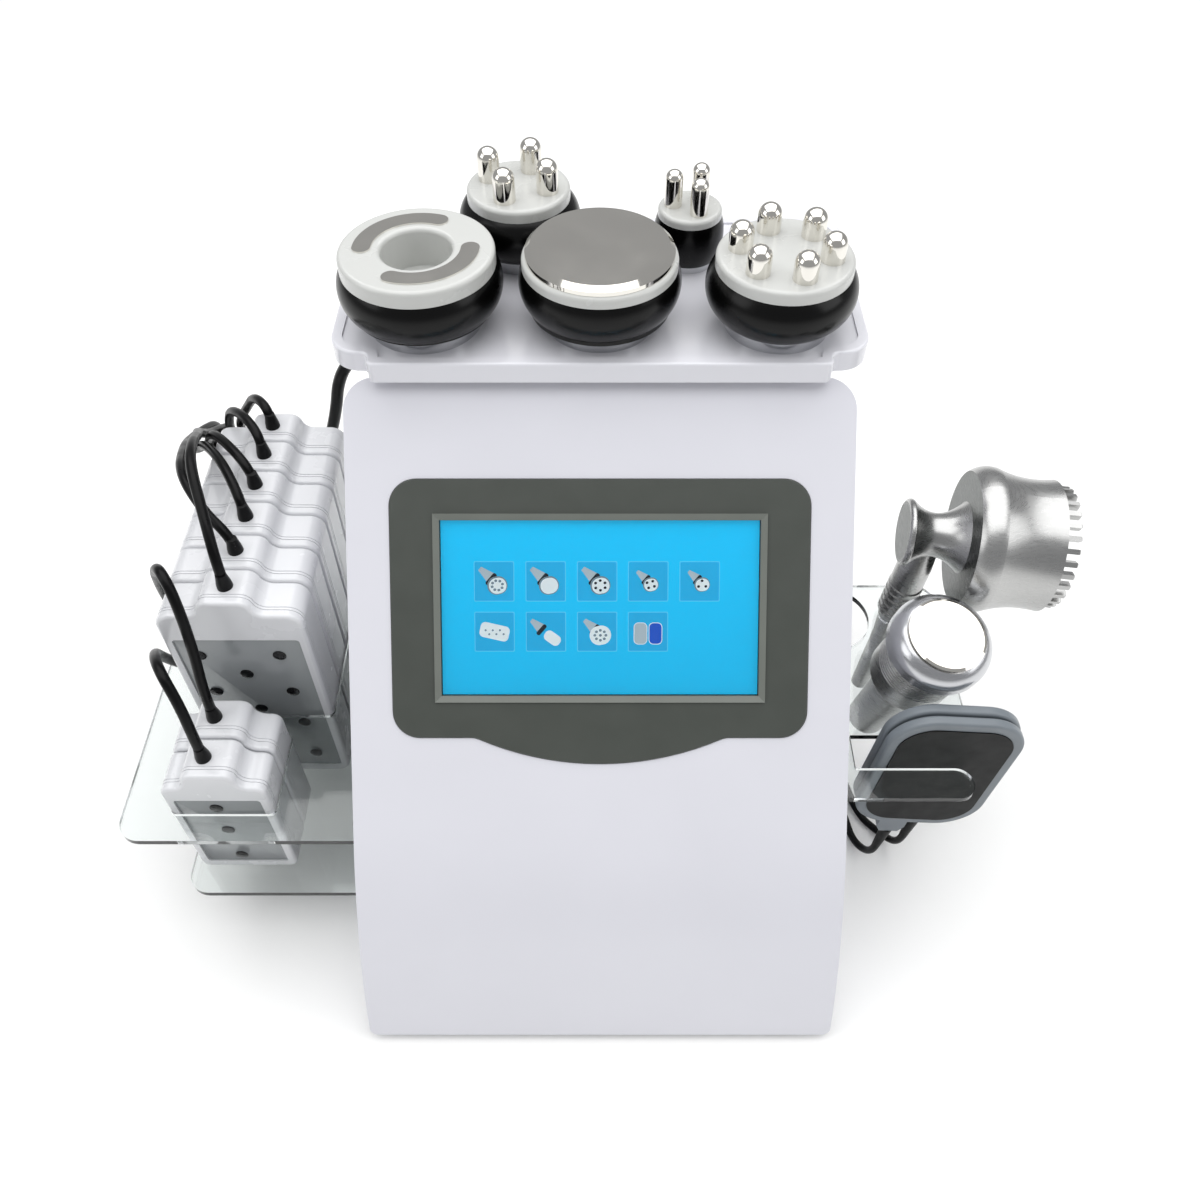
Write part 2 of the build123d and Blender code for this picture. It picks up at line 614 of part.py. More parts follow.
def make_vacuum_pump():
    low = BASE_TOP + PUMP_HEAD / 2
    motor = Pos(PUMP_X, PUMP_Y, low) * Rot(90, 0, 0) * Cylinder(PUMP_RADIUS, PUMP_LENGTH)
    head = Pos(PUMP_X, PUMP_Y - PUMP_LENGTH / 2 - PUMP_HEAD_DEPTH / 2, low) * Box(
        PUMP_HEAD, PUMP_HEAD_DEPTH, PUMP_HEAD)
    pump = motor + fillet(head.edges().filter_by(Axis.Y), WALL)
    for side in (-1, 1):
        place = (PUMP_X + side * PUMP_HEAD / 4, PUMP_Y - PUMP_LENGTH / 2 - PUMP_HEAD_DEPTH / 2)
        pump += upright_cylinder(place, low + PUMP_HEAD / 2, low + PUMP_HEAD / 2 + BARB_LENGTH,
                                 BARB_RADIUS)
    saddle = block((PUMP_X - PUMP_RADIUS, PUMP_Y - PUMP_LENGTH / 4, BASE_TOP),
                   (PUMP_X + PUMP_RADIUS, PUMP_Y + PUMP_LENGTH / 4, low))
    return pump + saddle


# Shelf

def shelf_outline():
    depth = SHELF_BACK_Y - SHELF_FRONT_Y
    wings = Pos(0, SHELF_FRONT_Y + depth / 2) * RectangleRounded(2 * SHELF_HALF, depth, SHELF_CORNER)
    reach = SHELF_FRONT_Y - TONGUE_Y
    tongue = Pos(0, TONGUE_Y + reach) * Rectangle(2 * TONGUE_HALF, 2 * reach)
    outline = wings + tongue
    corners = [v for v in outline.vertices() if abs(abs(v.X) - TONGUE_HALF) < HAIR_GAP]
    return fillet(corners, TONGUE_CORNER)


SHELF_HOLES = ((RING_PLACE, RING_GRIP_RADIUS), (CAVITATION_PLACE, CAVITATION_GRIP_RADIUS),
               (SIX_PLACE, SIX_GRIP_RADIUS), (FOUR_PLACE, FOUR_GRIP_RADIUS),
               (THREE_PLACE, THREE_GRIP_RADIUS))


def make_handle_shelf():
    outline = shelf_outline()
    rim_top = SHELF_TOP + SHELF_RIM_RISE
    shelf = Pos(0, 0, SHELF_TOP - SHELF_DEPTH) * extrude(outline, SHELF_DEPTH + SHELF_RIM_RISE)
    shelf = fillet(shelf.faces().sort_by(Axis.Z)[-1].edges(), SHELF_EDGE)
    dish = Pos(0, 0, rim_top) * extrude(offset(outline, -SHELF_RIM), -SHELF_RIM_RISE)
    hollow_depth = SHELF_DEPTH - SHELF_PLATE
    hollow = Pos(0, 0, SHELF_TOP - SHELF_DEPTH) * extrude(offset(outline, -SHELF_SKIRT),
                                                          hollow_depth)
    shelf = shelf - dish - hollow
    for place, radius in SHELF_HOLES:
        shelf -= upright_cylinder(place, SHELF_TOP - OVERRUN, SHELF_TOP + OVERRUN,
                                  radius + FIT_GAP)
    return shelf


def make_shelf_bracket():
    top = SHELF_TOP - SHELF_PLATE
    bracket = block((-BRACKET_HALF, REAR_Y, BRACKET_LOW_Z),
                    (BRACKET_HALF, REAR_Y + BRACKET_THICK, top))
    bracket += block((-BRACKET_HALF, REAR_Y, top - BRACKET_THICK),
                     (BRACKET_HALF, REAR_Y + BRACKET_FLANGE, top))
    low = BRACKET_LOW_Z + BRACKET_FLANGE
    front = REAR_Y + BRACKET_THICK
    tip = REAR_Y + GUSSET_REACH
    rib = make_face(Polyline((front, low), (front, top), (tip, top), (tip, top - BRACKET_FLANGE),
                             close=True))
    for side in (-1, 1):
        plate = extrude(Plane.YZ.offset(side * GUSSET_X) * rib, BRACKET_THICK / 2, both=True)
        strap = block((side * GUSSET_X - GUSSET_STRAP / 2, front, top - BRACKET_THICK),
                      (side * GUSSET_X + GUSSET_STRAP / 2, tip, top))
        bracket += plate + strap
    for place, radius in SHELF_HOLES:
        bracket -= upright_cylinder(place, BRACKET_LOW_Z, SHELF_TOP, radius + BRACKET_THICK)
    return bracket


# Handpieces on the shelf

def make_handle(place, base_radius, grip_radius, drop=0):
    """Silver handle: ring on the shelf, grip through it with a waist, gland at the end."""
    ring_top = SHELF_TOP + RING_RISE - drop / 2
    low = SHELF_TOP - HANDLE_DROP
    waist = grip_radius * 4 / 5
    end = grip_radius * 3 / 4
    outline = Polyline((0, ring_top), (base_radius, ring_top), (base_radius - CAP_EDGE / 2, SHELF_TOP),
                       (grip_radius, SHELF_TOP), (grip_radius, SHELF_TOP - OVERRUN))
    outline += ThreePointArc((grip_radius, SHELF_TOP - OVERRUN), (waist, SHELF_TOP - HANDLE_DROP / 2),
                             (end, low + WALL))
    outline += Polyline((end, low + WALL), (end - WALL, low), (GLAND_RADIUS, low),
                        (GLAND_RADIUS * 2 / 3, low - GLAND_LENGTH), (0, low - GLAND_LENGTH),
                        (0, ring_top))
    return Pos(*place) * revolve(Plane.XZ * make_face(outline), Axis.Z)


def make_bulb(place, base_radius, bulb_radius, cap_radius, drop=0):
    """Black bulb: a turned shell whose side swells between the ring and the cap."""
    low = SHELF_TOP + RING_RISE - drop / 2
    high = SHELF_TOP + RING_RISE + BULB_RISE - drop
    middle = low + (high - low) * 3 / 5
    inner = cap_radius - BULB_WALL
    side = ThreePointArc((base_radius, low), (bulb_radius, middle), (cap_radius, high))
    outline = side + Polyline((cap_radius, high), (inner, high), (inner, low + BULB_WALL),
                              (0, low + BULB_WALL), (0, low), (base_radius, low))
    return Pos(*place) * revolve(Plane.XZ * make_face(outline), Axis.Z)


def cap_bottom(drop=0):
    return SHELF_TOP + RING_RISE + BULB_RISE - drop


def make_cap(place, cap_radius, rise, drop=0):
    """Pale cap that closes the bulb, with a plug inside and a rounded edge."""
    low = cap_bottom(drop)
    high = low + rise
    plug = cap_radius - BULB_WALL - HAIR_GAP
    edge = min(CAP_EDGE, rise / 2)
    outline = Polyline((0, low - CAP_PLUG), (plug, low - CAP_PLUG), (plug, low), (cap_radius, low),
                       (cap_radius, high - edge))
    lean_back = edge * (1 - math.sqrt(1 / 2))
    outline += ThreePointArc((cap_radius, high - edge), (cap_radius - lean_back, high - lean_back),
                             (cap_radius - edge, high))
    outline += Polyline((cap_radius - edge, high), (0, high), (0, low - CAP_PLUG))
    return Pos(*place) * revolve(Plane.XZ * make_face(outline), Axis.Z)


def make_pins(place, top, radius, length, circle, turn, count):
    """Domed metal electrodes in a ring on the cap."""
    pins = []
    for i in range(count):
        angle = math.radians(turn + 360 / count * i)
        spot = (place[0] + circle * math.cos(angle), place[1] + circle * math.sin(angle), top)
        outline = Polyline((0, 0), (radius, 0), (radius, length - radius))
        slant = radius * math.sqrt(1 / 2)
        outline += ThreePointArc((radius, length - radius), (slant, length - radius + slant),
                                 (0, length))
        outline += Line((0, length), (0, 0))
        pins.append(Pos(*spot) * revolve(Plane.XZ * make_face(outline), Axis.Z))
    return Compound(children=pins)


def arc_strip(start):
    """A curved electrode's outline: a ring sector with round ends."""
    middle = (ARC_INNER + ARC_OUTER) / 2
    path = CenterArc((0, 0), middle, start, ARC_SPAN)
    half = (ARC_OUTER - ARC_INNER) / 2
    ring = Circle(ARC_OUTER) - Circle(ARC_INNER)
    reach = 2 * ARC_OUTER
    ends = [start, start + ARC_SPAN / 2, start + ARC_SPAN]
    fan = [(reach * math.cos(math.radians(a)), reach * math.sin(math.radians(a))) for a in ends]
    sector = ring & make_face(Polyline((0, 0), *fan, close=True))
    for end in (path @ 0, path @ 1):
        sector += Pos(end.X, end.Y) * Circle(half)
    return sector


def make_ring_cap():
    top = cap_bottom() + RING_CAP_RISE
    cap = make_cap(RING_PLACE, RING_CAP_RADIUS, RING_CAP_RISE)
    wall = CUP_RADIUS + CUP_WALL
    cap += upright_cylinder(RING_PLACE, top - CUP_DEPTH - CUP_WALL, top - CAP_EDGE, wall)
    cap -= upright_cylinder(RING_PLACE, top - CUP_DEPTH, top + OVERRUN, CUP_RADIUS)
    mouth = cap.edges().filter_by(GeomType.CIRCLE).sort_by(Axis.Z)
    lip = [e for e in mouth if abs(e.center().Z - top) < HAIR_GAP and abs(e.radius - CUP_RADIUS) < HAIR_GAP]
    cap = fillet(lip, CUP_LIP)
    cap -= upright_cylinder(RING_PLACE, top - CUP_DEPTH - OVERRUN, top, BARB_RADIUS)
    for start in ARC_STARTS:
        cap -= Pos(*RING_PLACE, top) * extrude(arc_strip(start), -ARC_THICK / 2)
    return cap


def make_ring_arcs():
    top = cap_bottom() + RING_CAP_RISE
    arcs = []
    for start in ARC_STARTS:
        arcs.append(Pos(*RING_PLACE, top - ARC_THICK / 2) * extrude(arc_strip(start), ARC_THICK))
    return Compound(children=arcs)


def make_cavitation_horn():
    """Polished plate with a chamfered edge on the cavitation head."""
    low = cap_bottom() + CAVITATION_RIM_RISE
    half = HORN_RISE / 2
    return turned(((0, low), (HORN_RADIUS, low), (HORN_RADIUS, low + half),
                   (HORN_FACE_RADIUS, low + HORN_RISE), (0, low + HORN_RISE)),
                  (*CAVITATION_PLACE, 0))


# Clear holders

def plate_outline(low, high, corner):
    width = high[0] - low[0]
    depth = high[1] - low[1]
    return Pos((low[0] + high[0]) / 2, (low[1] + high[1]) / 2) * RectangleRounded(
        width, depth, corner)


def make_left_holder():
    """Two clear trays on a clear side wall: the pads drop through the upper one."""
    wall_x = -HOLDER_WALL_X
    upper = plate_outline((TRAY_LEFT_X, TRAY_FRONT_Y), (wall_x + TRAY_CORNER, TRAY_BACK_Y),
                          TRAY_CORNER)
    lower = plate_outline((FLOOR_LEFT_X, TRAY_FRONT_Y), (wall_x + TRAY_CORNER, FLOOR_BACK_Y),
                          TRAY_CORNER)
    holder = Pos(0, 0, TRAY_TOP - SHEET) * extrude(upper, SHEET)
    holder += Pos(0, 0, FLOOR_TOP - SHEET) * extrude(lower, SHEET)
    holder -= block((wall_x, TRAY_FRONT_Y - OVERRUN, 0),
                    (wall_x + OVERRUN, TRAY_BACK_Y + OVERRUN, TRAY_TOP + OVERRUN))
    holder += block((wall_x - SHEET, TRAY_WALL_FRONT_Y, TRAY_WALL_LOW_Z),
                    (wall_x, TRAY_WALL_BACK_Y, TRAY_TOP))
    big = (PAD_LEFT_X + PAD_WIDTH + SLOT_GAP, PAD_FRONT_Y + PAD_PITCH * PAD_COUNT + SLOT_GAP)
    small = (PAD_LEFT_X + SMALL_WIDTH + SLOT_GAP,
             SMALL_FRONT_Y + PAD_PITCH * SMALL_COUNT + SLOT_GAP)
    for front, (right, back) in ((PAD_FRONT_Y, big), (SMALL_FRONT_Y, small)):
        slot = block((PAD_LEFT_X - SLOT_GAP, front - SLOT_GAP, TRAY_TOP - SHEET),
                     (right, back, TRAY_TOP))
        holder -= fillet(slot.edges().filter_by(Axis.Z), SHEET)
    return holder


def make_right_holder():
    """A clear plate on a short side wall, holed for two handpieces, with a front finger."""
    wall_x = HOLDER_WALL_X
    plate = plate_outline((wall_x - HOLDER_CORNER, HOLDER_FRONT_Y), (HOLDER_RIGHT_X, HOLDER_BACK_Y),
                          HOLDER_CORNER)
    back_of_finger = FINGER_FRONT_Y + FINGER_WIDTH
    finger = plate_outline((wall_x - HOLDER_CORNER, FINGER_FRONT_Y), (FINGER_RIGHT_X, back_of_finger),
                           FINGER_WIDTH / 2 - HAIR_GAP)
    root = Pos((wall_x + FINGER_ROOT_X) / 2, (back_of_finger + HOLDER_FRONT_Y) / 2) * Rectangle(
        FINGER_ROOT_X - wall_x, HOLDER_FRONT_Y - back_of_finger + FINGER_WIDTH)
    outline = plate + finger + root
    outline -= Pos(NOTCH_X, NOTCH_Y) * Circle(NOTCH_RADIUS)
    holder = Pos(0, 0, HOLDER_TOP - SHEET) * extrude(outline, SHEET)
    holder -= block((wall_x - OVERRUN - HOLDER_CORNER, FINGER_FRONT_Y - OVERRUN, 0),
                    (wall_x, HOLDER_BACK_Y + OVERRUN, HOLDER_TOP + OVERRUN))
    holder += block((wall_x, FINGER_FRONT_Y + FINGER_WIDTH / 4, HOLDER_WALL_LOW_Z),
                    (wall_x + SHEET, REAR_Y - SHEET, HOLDER_TOP))
    return holder - photon_grip(HAIR_GAP) - probe_body(HAIR_GAP)


# Laser pads

def pad_outline(width, height, hump):
    """Front view of a pad: rounded foot corners, shoulders, and a hump with S-shaped sides."""
    half = width / 2
    crest = PAD_HUMP_WIDTH / 2
    foot = crest + PAD_HUMP_BLEND
    middle = (crest + foot) / 2
    top = height + hump
    outline = Polyline((-foot, height), (-half, height), (-half, 0), (half, 0), (half, height),
                       (foot, height))
    for side in (-1, 1):
        joint = (side * middle, height + hump / 2)
        outline += TangentArc((side * foot, height), joint, tangent=(-side, 0))
        outline += TangentArc((side * crest, top), joint, tangent=(side, 0))
    outline += Line((crest, top), (-crest, top))
    face = make_face(outline)
    corners = [v for v in face.vertices() if abs(abs(v.X) - half) < HAIR_GAP]
    return fillet(corners, min(PAD_CORNER, (half - foot) * 4 / 5))


def make_pad(width, height, hump, thick, front_y):
    """One laser pad: two shells with a seam groove between them and a sunk front window."""
    outline = pad_outline(width, height, hump)
    mid_x = PAD_LEFT_X + width / 2
    slab = extrude(Plane.XZ * outline, -thick)
    rims = slab.faces().sort_by(Axis.Y)
    slab = fillet(rims[0].edges() + rims[-1].edges(), PAD_EDGE)
    ring = outline - offset(outline, -PAD_SEAM / 2)
    grooves = [extrude(Plane.XZ.offset(-PAD_SEAM_BACK - back) * ring, -PAD_SEAM / 2)
               for back in (0, 2 * PAD_SEAM)]
    window_high = height - WINDOW_TOP_DROP * height / PAD_HEIGHT
    window = Pos(0, (WINDOW_FOOT + window_high) / 2) * RectangleRounded(
        width - 2 * WINDOW_BORDER, window_high - WINDOW_FOOT, PAD_EDGE)
    slab -= grooves
    slab -= extrude(Plane.XZ * window, -WINDOW_DEPTH)
    return Pos(mid_x, front_y, FLOOR_TOP) * slab


def big_pad_front(i):
    return PAD_FRONT_Y + PAD_PITCH * i


def small_pad_front(i):
    return SMALL_FRONT_Y + PAD_PITCH * i


# Photon massager

def head_frame():
    return Pos(*PHOTON_CENTRE) * Rot(0, 0, HEAD_TURN) * Rot(0, HEAD_LEAN, 0)


def photon_grip(grow=0):
    """The massager's handle below its head, turned about its own axis."""
    radius = PHOTON_GRIP_RADIUS + grow
    ring = PHOTON_RING_RADIUS + grow
    tail = PHOTON_TAIL_RADIUS + grow
    groove = (PHOTON_RINGS_END - PHOTON_GRIP_END) / (2 * PHOTON_RINGS)
    points = [(0, 0), (radius * 4 / 5, 0), (radius, -WAIST_RADIUS * 2), (radius, -PHOTON_GRIP_END)]
    for i in range(PHOTON_RINGS):
        low = PHOTON_GRIP_END + groove * (2 * i + 1)
        points += [(ring, -low + groove), (ring, -low), (ring + HAIR_GAP * 8, -low),
                   (ring + HAIR_GAP * 8, -low - groove)]
    points += [(ring * 8 / 9, -PHOTON_RINGS_END - groove), (tail, -PHOTON_SEAT),
               (tail * 7 / 8, -PHOTON_TAIL_END + tail / 2), (tail / 2, -PHOTON_TAIL_END),
               (0, -PHOTON_TAIL_END)]
    grip = revolve(Plane.XZ * make_face(Polyline(*points, close=True)), Axis.Z)
    return Pos(*PHOTON_CENTRE) * Rot(0, PHOTON_LEAN, 0) * grip


def turned_head(outline):
    """A form turned about the massager's head axis, from (distance along it, radius)."""
    return head_frame() * revolve(Plane.XZ * make_face(outline), Axis.X)


def make_photon_body():
    """Knob, waist and drum shell in one turned piece, open at the front."""
    rim = KNOB_RADIUS - WALL
    knob = -KNOB_REACH
    outline = Line((knob, 0), (knob, rim))
    outline += ThreePointArc((knob, rim), (knob + WALL / 2, KNOB_RADIUS), (knob + WALL * 3 / 2, KNOB_RADIUS - WALL / 3))
    outline += Spline((knob + WALL * 3 / 2, KNOB_RADIUS - WALL / 3), (0, WAIST_RADIUS),
                      (DRUM_BACK, DRUM_NECK_RADIUS))
    outline += Polyline((DRUM_BACK, DRUM_NECK_RADIUS), (DRUM_BACK, DRUM_BACK_RADIUS))
    outline += ThreePointArc((DRUM_BACK, DRUM_BACK_RADIUS),
                             ((DRUM_BACK + DRUM_SEAM) / 2 - WALL / 2, (DRUM_BACK_RADIUS + DRUM_SEAM_RADIUS) / 2 + WALL / 2),
                             (DRUM_SEAM, DRUM_SEAM_RADIUS))
    outline += Spline((DRUM_SEAM, DRUM_SEAM_RADIUS), (DRUM_DIP, DRUM_DIP_RADIUS),
                      (DRUM_FRONT, DRUM_FRONT_RADIUS))
    inner = DRUM_FRONT_RADIUS - DRUM_WALL
    outline += Polyline((DRUM_FRONT, DRUM_FRONT_RADIUS), (DRUM_FRONT, inner), (DRUM_SEAM, inner),
                        (DRUM_SEAM, 0), (knob, 0))
    body = turned_head(outline)
    return body


def make_photon_comb():
    """A ring with short teeth that stand out of the drum's mouth."""
    outer = DRUM_FRONT_RADIUS - DRUM_WALL - HAIR_GAP
    low = DRUM_FRONT - COMB_BASE
    ring = Polyline((low, COMB_INNER), (low, outer), (DRUM_FRONT, outer), (DRUM_FRONT, COMB_INNER),
                    close=True)
    comb = revolve(Plane.XZ * make_face(ring), Axis.X)
    tooth = Pos(DRUM_FRONT + COMB_REACH / 2, 0, outer - TOOTH_TALL / 2) * Box(
        COMB_REACH, TOOTH_THICK, TOOTH_TALL)
    tooth = chamfer(tooth.faces().sort_by(Axis.X)[-1].edges(), TOOTH_THICK / 4)
    for i in range(COMB_TEETH):
        comb += Rot(360 / COMB_TEETH * i, 0, 0) * tooth
    return head_frame() * comb


def make_photon_lens():
    """The light plate inside the comb."""
    low = DRUM_FRONT - COMB_BASE
    outer = COMB_INNER - HAIR_GAP
    outline = Polyline((DRUM_SEAM, 0), (DRUM_SEAM, outer * 2 / 3), (low, outer * 2 / 3), (low, outer),
                       (low + LENS_THICK, outer), (low + LENS_THICK, 0), close=True)
    return turned_head(outline)


def make_photon_handle():
    head = make_photon_body()
    return photon_grip() - head


# Cold probe

def probe_frame():
    return Pos(*PROBE_FACE) * Rot(PROBE_TILT, 0, 0) * Rot(0, PROBE_LEAN, 0)


def probe_body(grow=0):
    radius = PROBE_BODY_RADIUS + grow
    tail = PROBE_TAIL_RADIUS + grow
    points = [(0, -PROBE_COLLAR_LENGTH), (radius, -PROBE_COLLAR_LENGTH)]
    if not grow:
        for i in range(PROBE_RIBS):
            low = PROBE_COLLAR_LENGTH + PROBE_RIB_PITCH * (i + 1)
            points += [(radius, -low), (radius - PROBE_RIB_DEPTH, -low - PROBE_RIB_PITCH / 4),
                       (radius, -low - PROBE_RIB_PITCH / 2)]
    points += [(radius, -PROBE_BODY_END), (tail, -PROBE_BODY_END - OVERRUN),
               (tail * 5 / 6, -PROBE_TAIL_END + WALL), (tail * 5 / 6 - WALL, -PROBE_TAIL_END),
               (0, -PROBE_TAIL_END)]
    body = revolve(Plane.XZ * make_face(Polyline(*points, close=True)), Axis.Z)
    return probe_frame() * body


def make_probe_collar():
    edge = PROBE_SHOULDER
    low = -PROBE_COLLAR_LENGTH
    outline = Polyline((0, low), (PROBE_BODY_RADIUS + WALL / 2, low), (PROBE_COLLAR_RADIUS, low + WALL),
                       (PROBE_COLLAR_RADIUS, -edge))
    outline += ThreePointArc((PROBE_COLLAR_RADIUS, -edge),
                             (PROBE_COLLAR_RADIUS - edge / 6, -edge / 3),
                             (PROBE_FACE_RADIUS + WALL / 3, 0))
    outline += Polyline((PROBE_FACE_RADIUS + WALL / 3, 0), (PROBE_FACE_RADIUS + WALL / 3, -WALL),
                        (0, -WALL), (0, low))
    return probe_frame() * revolve(Plane.XZ * make_face(outline), Axis.Z)


def make_probe_face():
    rise = PROBE_FACE_RISE
    points = [(0, -WALL), (PROBE_FACE_RADIUS, -WALL), (PROBE_FACE_RADIUS, rise / 2),
              (PROBE_FACE_RADIUS - rise, rise), (0, rise)]
    return probe_frame() * revolve(Plane.XZ * make_face(Polyline(*points, close=True)), Axis.Z)


# Electrode pads

def sole_frame(i):
    """The pad's own plane: local X across, local Y up, leaned to the right."""
    front = SOLE_PAD_FRONT_Y + SOLE_PAD_PITCH * i
    return Pos(SOLE_PAD_CENTRE[0], front, SOLE_PAD_CENTRE[1]) * Rot(0, SOLE_PAD_LEAN, 0)


def spout_x(i):
    return -SPOUT_OFFSET - BOOT_RADIUS if i == 0 else SPOUT_OFFSET + BOOT_RADIUS


def make_sole_pad(i):
    outline = RectangleRounded(SOLE_PAD_WIDTH, SOLE_PAD_HEIGHT, SOLE_PAD_CORNER)
    pad = extrude(Plane.XZ * outline, -SOLE_PAD_THICK)
    rims = pad.faces().sort_by(Axis.Y)
    pad = fillet(rims[0].edges() + rims[-1].edges(), PANEL_EDGE_RADIUS)
    pad -= extrude(Plane.XZ * offset(outline, -SOLE_BORDER + HAIR_GAP), -SOLE_SINK)
    low = -SOLE_PAD_HEIGHT / 2
    half = SPOUT_WIDTH / 2
    spout = make_face(Polyline((-half, WALL), (half, WALL), (half, -SPOUT_LENGTH / 2),
                               (half * 2 / 3, -SPOUT_LENGTH), (-half * 2 / 3, -SPOUT_LENGTH),
                               (-half, -SPOUT_LENGTH / 2), close=True))
    spout = extrude(Plane.XZ * spout, -SOLE_PAD_THICK)
    return sole_frame(i) * (pad + Pos(spout_x(i), 0, low) * spout)


def boot_end(i):
    """Where the lead leaves the boot, in the object's own frame."""
    low = -SOLE_PAD_HEIGHT / 2 - SPOUT_LENGTH - BOOT_LENGTH
    spot = sole_frame(i) * Pos(spout_x(i), SOLE_PAD_THICK / 2, low)
    return spot.position


def make_sole(i):
    """The black sole in the pad's face and the lead's boot, as two solids."""
    outline = RectangleRounded(SOLE_PAD_WIDTH, SOLE_PAD_HEIGHT, SOLE_PAD_CORNER)
    sole = extrude(Plane.XZ.offset(SOLE_THICK - SOLE_SINK) * offset(outline, -SOLE_BORDER), -SOLE_THICK)
    low = -SOLE_PAD_HEIGHT / 2 - SPOUT_LENGTH
    boot = Pos(spout_x(i), SOLE_PAD_THICK / 2, low) * Rot(180, 0, 0) * Cone(
        BOOT_RADIUS, SOLE_LEAD_RADIUS + HAIR_GAP, BOOT_LENGTH,
        align=(Align.CENTER, Align.CENTER, Align.MIN))
    return sole_frame(i) * Compound(children=[sole, boot])


# Leads

def route_radii(points):
    """Arc radii for a route: nine twentieths of the shorter run over tan of half the turn."""
    radii = []
    for i in range(1, len(points) - 1):
        before = Vector(*points[i]) - Vector(*points[i - 1])
        after = Vector(*points[i + 1]) - Vector(*points[i])
        turn = math.radians(before.get_angle(after))
        radii.append(min(before.length, after.length) * 9 / 20 / math.tan(turn / 2))
    return radii


def lead_tube(name, points, radius):
    radii = route_radii(points)
    path = FilletPolyline(*points, radius=radii)
    tube = sweep(Plane(path @ 0, z_dir=path % 0) * Circle(radius), path=path)
    length = sum(e.length for e in path.edges())
    print(f"{name}: {length:.0f} mm long, least radius {min(radii):.1f} mm, "
          f"volume share {tube.volume / (math.pi * radius ** 2 * length):.4f}")
    return tube


SPLITTER_FRONT_Y = 152.0
SPLITTER_SIDE = 11.25          # its middle, left of the pads
HUMP_X = PAD_LEFT_X + PAD_WIDTH / 2
SMALL_HUMP_X = PAD_LEFT_X + SMALL_WIDTH / 2 - WALL

# Each route after the pad's hump: from the pads' left side, then Y and Z as they stand
SMALL_LEAD_ROUTES = (
    ((27.0, -89.0, 175.0), (24.0, -82.0, 200.0), (16.0, -72.0, 221.0), (0.0, -45.0, 200.0),
     (-7.0, -30.0, 176.0), (-7.5, -14.0, 146.0), (-7.5, 10.0, 123.1), (-6.0, 60.0, 123.1),
     (-7.5, 110.0, 123.1), (-7.5, 152.0, 123.1)),
    ((27.0, -62.0, 180.0), (27.0, -52.0, 211.0), (24.0, -42.0, 244.0), (15.5, -30.0, 254.5),
     (0.0, -10.0, 228.0), (-10.0, 5.0, 196.0), (-15.0, 16.0, 160.0), (-15.0, 34.0, 123.1),
     (-13.5, 70.0, 123.1), (-15.0, 114.0, 123.1), (-15.0, 152.0, 123.1)))
BIG_LEAD_ROUTES = (
    ((41.5, -19.8, 243.0), (35.0, 0.0, 264.0), (24.0, 28.0, 276.0), (17.0, 55.0, 268.0),
     (4.0, 92.0, 241.0), (-7.0, 112.0, 225.0), (-11.0, 134.0, 204.0), (-11.2, 156.0, 190.0),
     (-11.2, 172.0, 178.0), (-11.2, 172.0, 160.0)),
    ((41.5, 7.2, 238.0), (25.0, 20.0, 246.0), (7.0, 45.0, 253.0), (-8.0, 90.0, 231.0),
     (-18.0, 120.0, 211.0), (-18.2, 146.0, 198.0), (-18.2, 172.0, 182.0), (-18.2, 172.0, 160.0)),
    ((41.5, 34.2, 237.0), (36.0, 45.0, 242.0), (24.0, 65.0, 244.0), (2.0, 98.0, 228.0),
     (-12.0, 112.0, 210.0), (-18.2, 132.0, 194.0), (-18.2, 160.0, 176.0), (-18.2, 160.0, 160.0)),
    ((41.5, 61.2, 237.0), (30.0, 74.0, 243.0), (12.0, 96.0, 237.0), (2.0, 109.0, 224.0),
     (-9.0, 123.0, 201.0), (-11.2, 138.0, 184.0), (-11.2, 160.0, 174.0), (-11.2, 160.0, 160.0)),
    ((41.5, 88.2, 236.0), (38.0, 95.0, 241.0), (28.0, 108.0, 242.0), (12.0, 128.0, 230.0),
     (2.0, 142.0, 207.0), (-4.2, 156.0, 186.0), (-4.2, 160.0, 173.0), (-4.2, 160.0, 160.0)),
    ((41.5, 115.2, 236.0), (37.0, 122.0, 240.0), (26.0, 137.0, 233.0), (14.0, 152.0, 213.0),
     (0.0, 166.0, 190.0), (-4.2, 172.0, 177.0), (-4.2, 172.0, 160.0)))


def pad_lead_route(exit_point, rest):
    return [exit_point] + [(PAD_LEFT_X + x, y, z) for x, y, z in rest]


def big_lead_route(i):
    exit_point = (HUMP_X, big_pad_front(i) + PAD_THICK / 2, FLOOR_TOP + PAD_HEIGHT + PAD_HUMP)
    return pad_lead_route(exit_point, BIG_LEAD_ROUTES[i])


def small_lead_route(i):
    exit_point = (SMALL_HUMP_X, small_pad_front(i) + SMALL_THICK / 2,
                  FLOOR_TOP + SMALL_HEIGHT + SMALL_HUMP)
    return pad_lead_route(exit_point, SMALL_LEAD_ROUTES[i])


TRUNK_ROUTE = (
    (-249.0, 170.0, 140.0), (-232.0, 170.0, 141.0), (-208.0, 168.0, 150.0), (-190.0, 160.0, 175.0),
    (-177.0, 150.0, 210.0), (-168.0, 143.0, 244.0), (-153.0, 138.0, 266.0), (-137.0, 134.0, 252.0),
    (-130.0, 130.0, 222.0), (-127.0, 128.0, 188.0), (-123.0, 126.0, 154.0), (-116.0, 121.0, 122.0),
    (-112.0, 112.0, 98.0), (-112.0, 97.0, 98.0))

SOLE_LEAD_END_Y = 97.0
SOLE_LEAD_FLOOR = SOLE_LEAD_RADIUS + HAIR_GAP


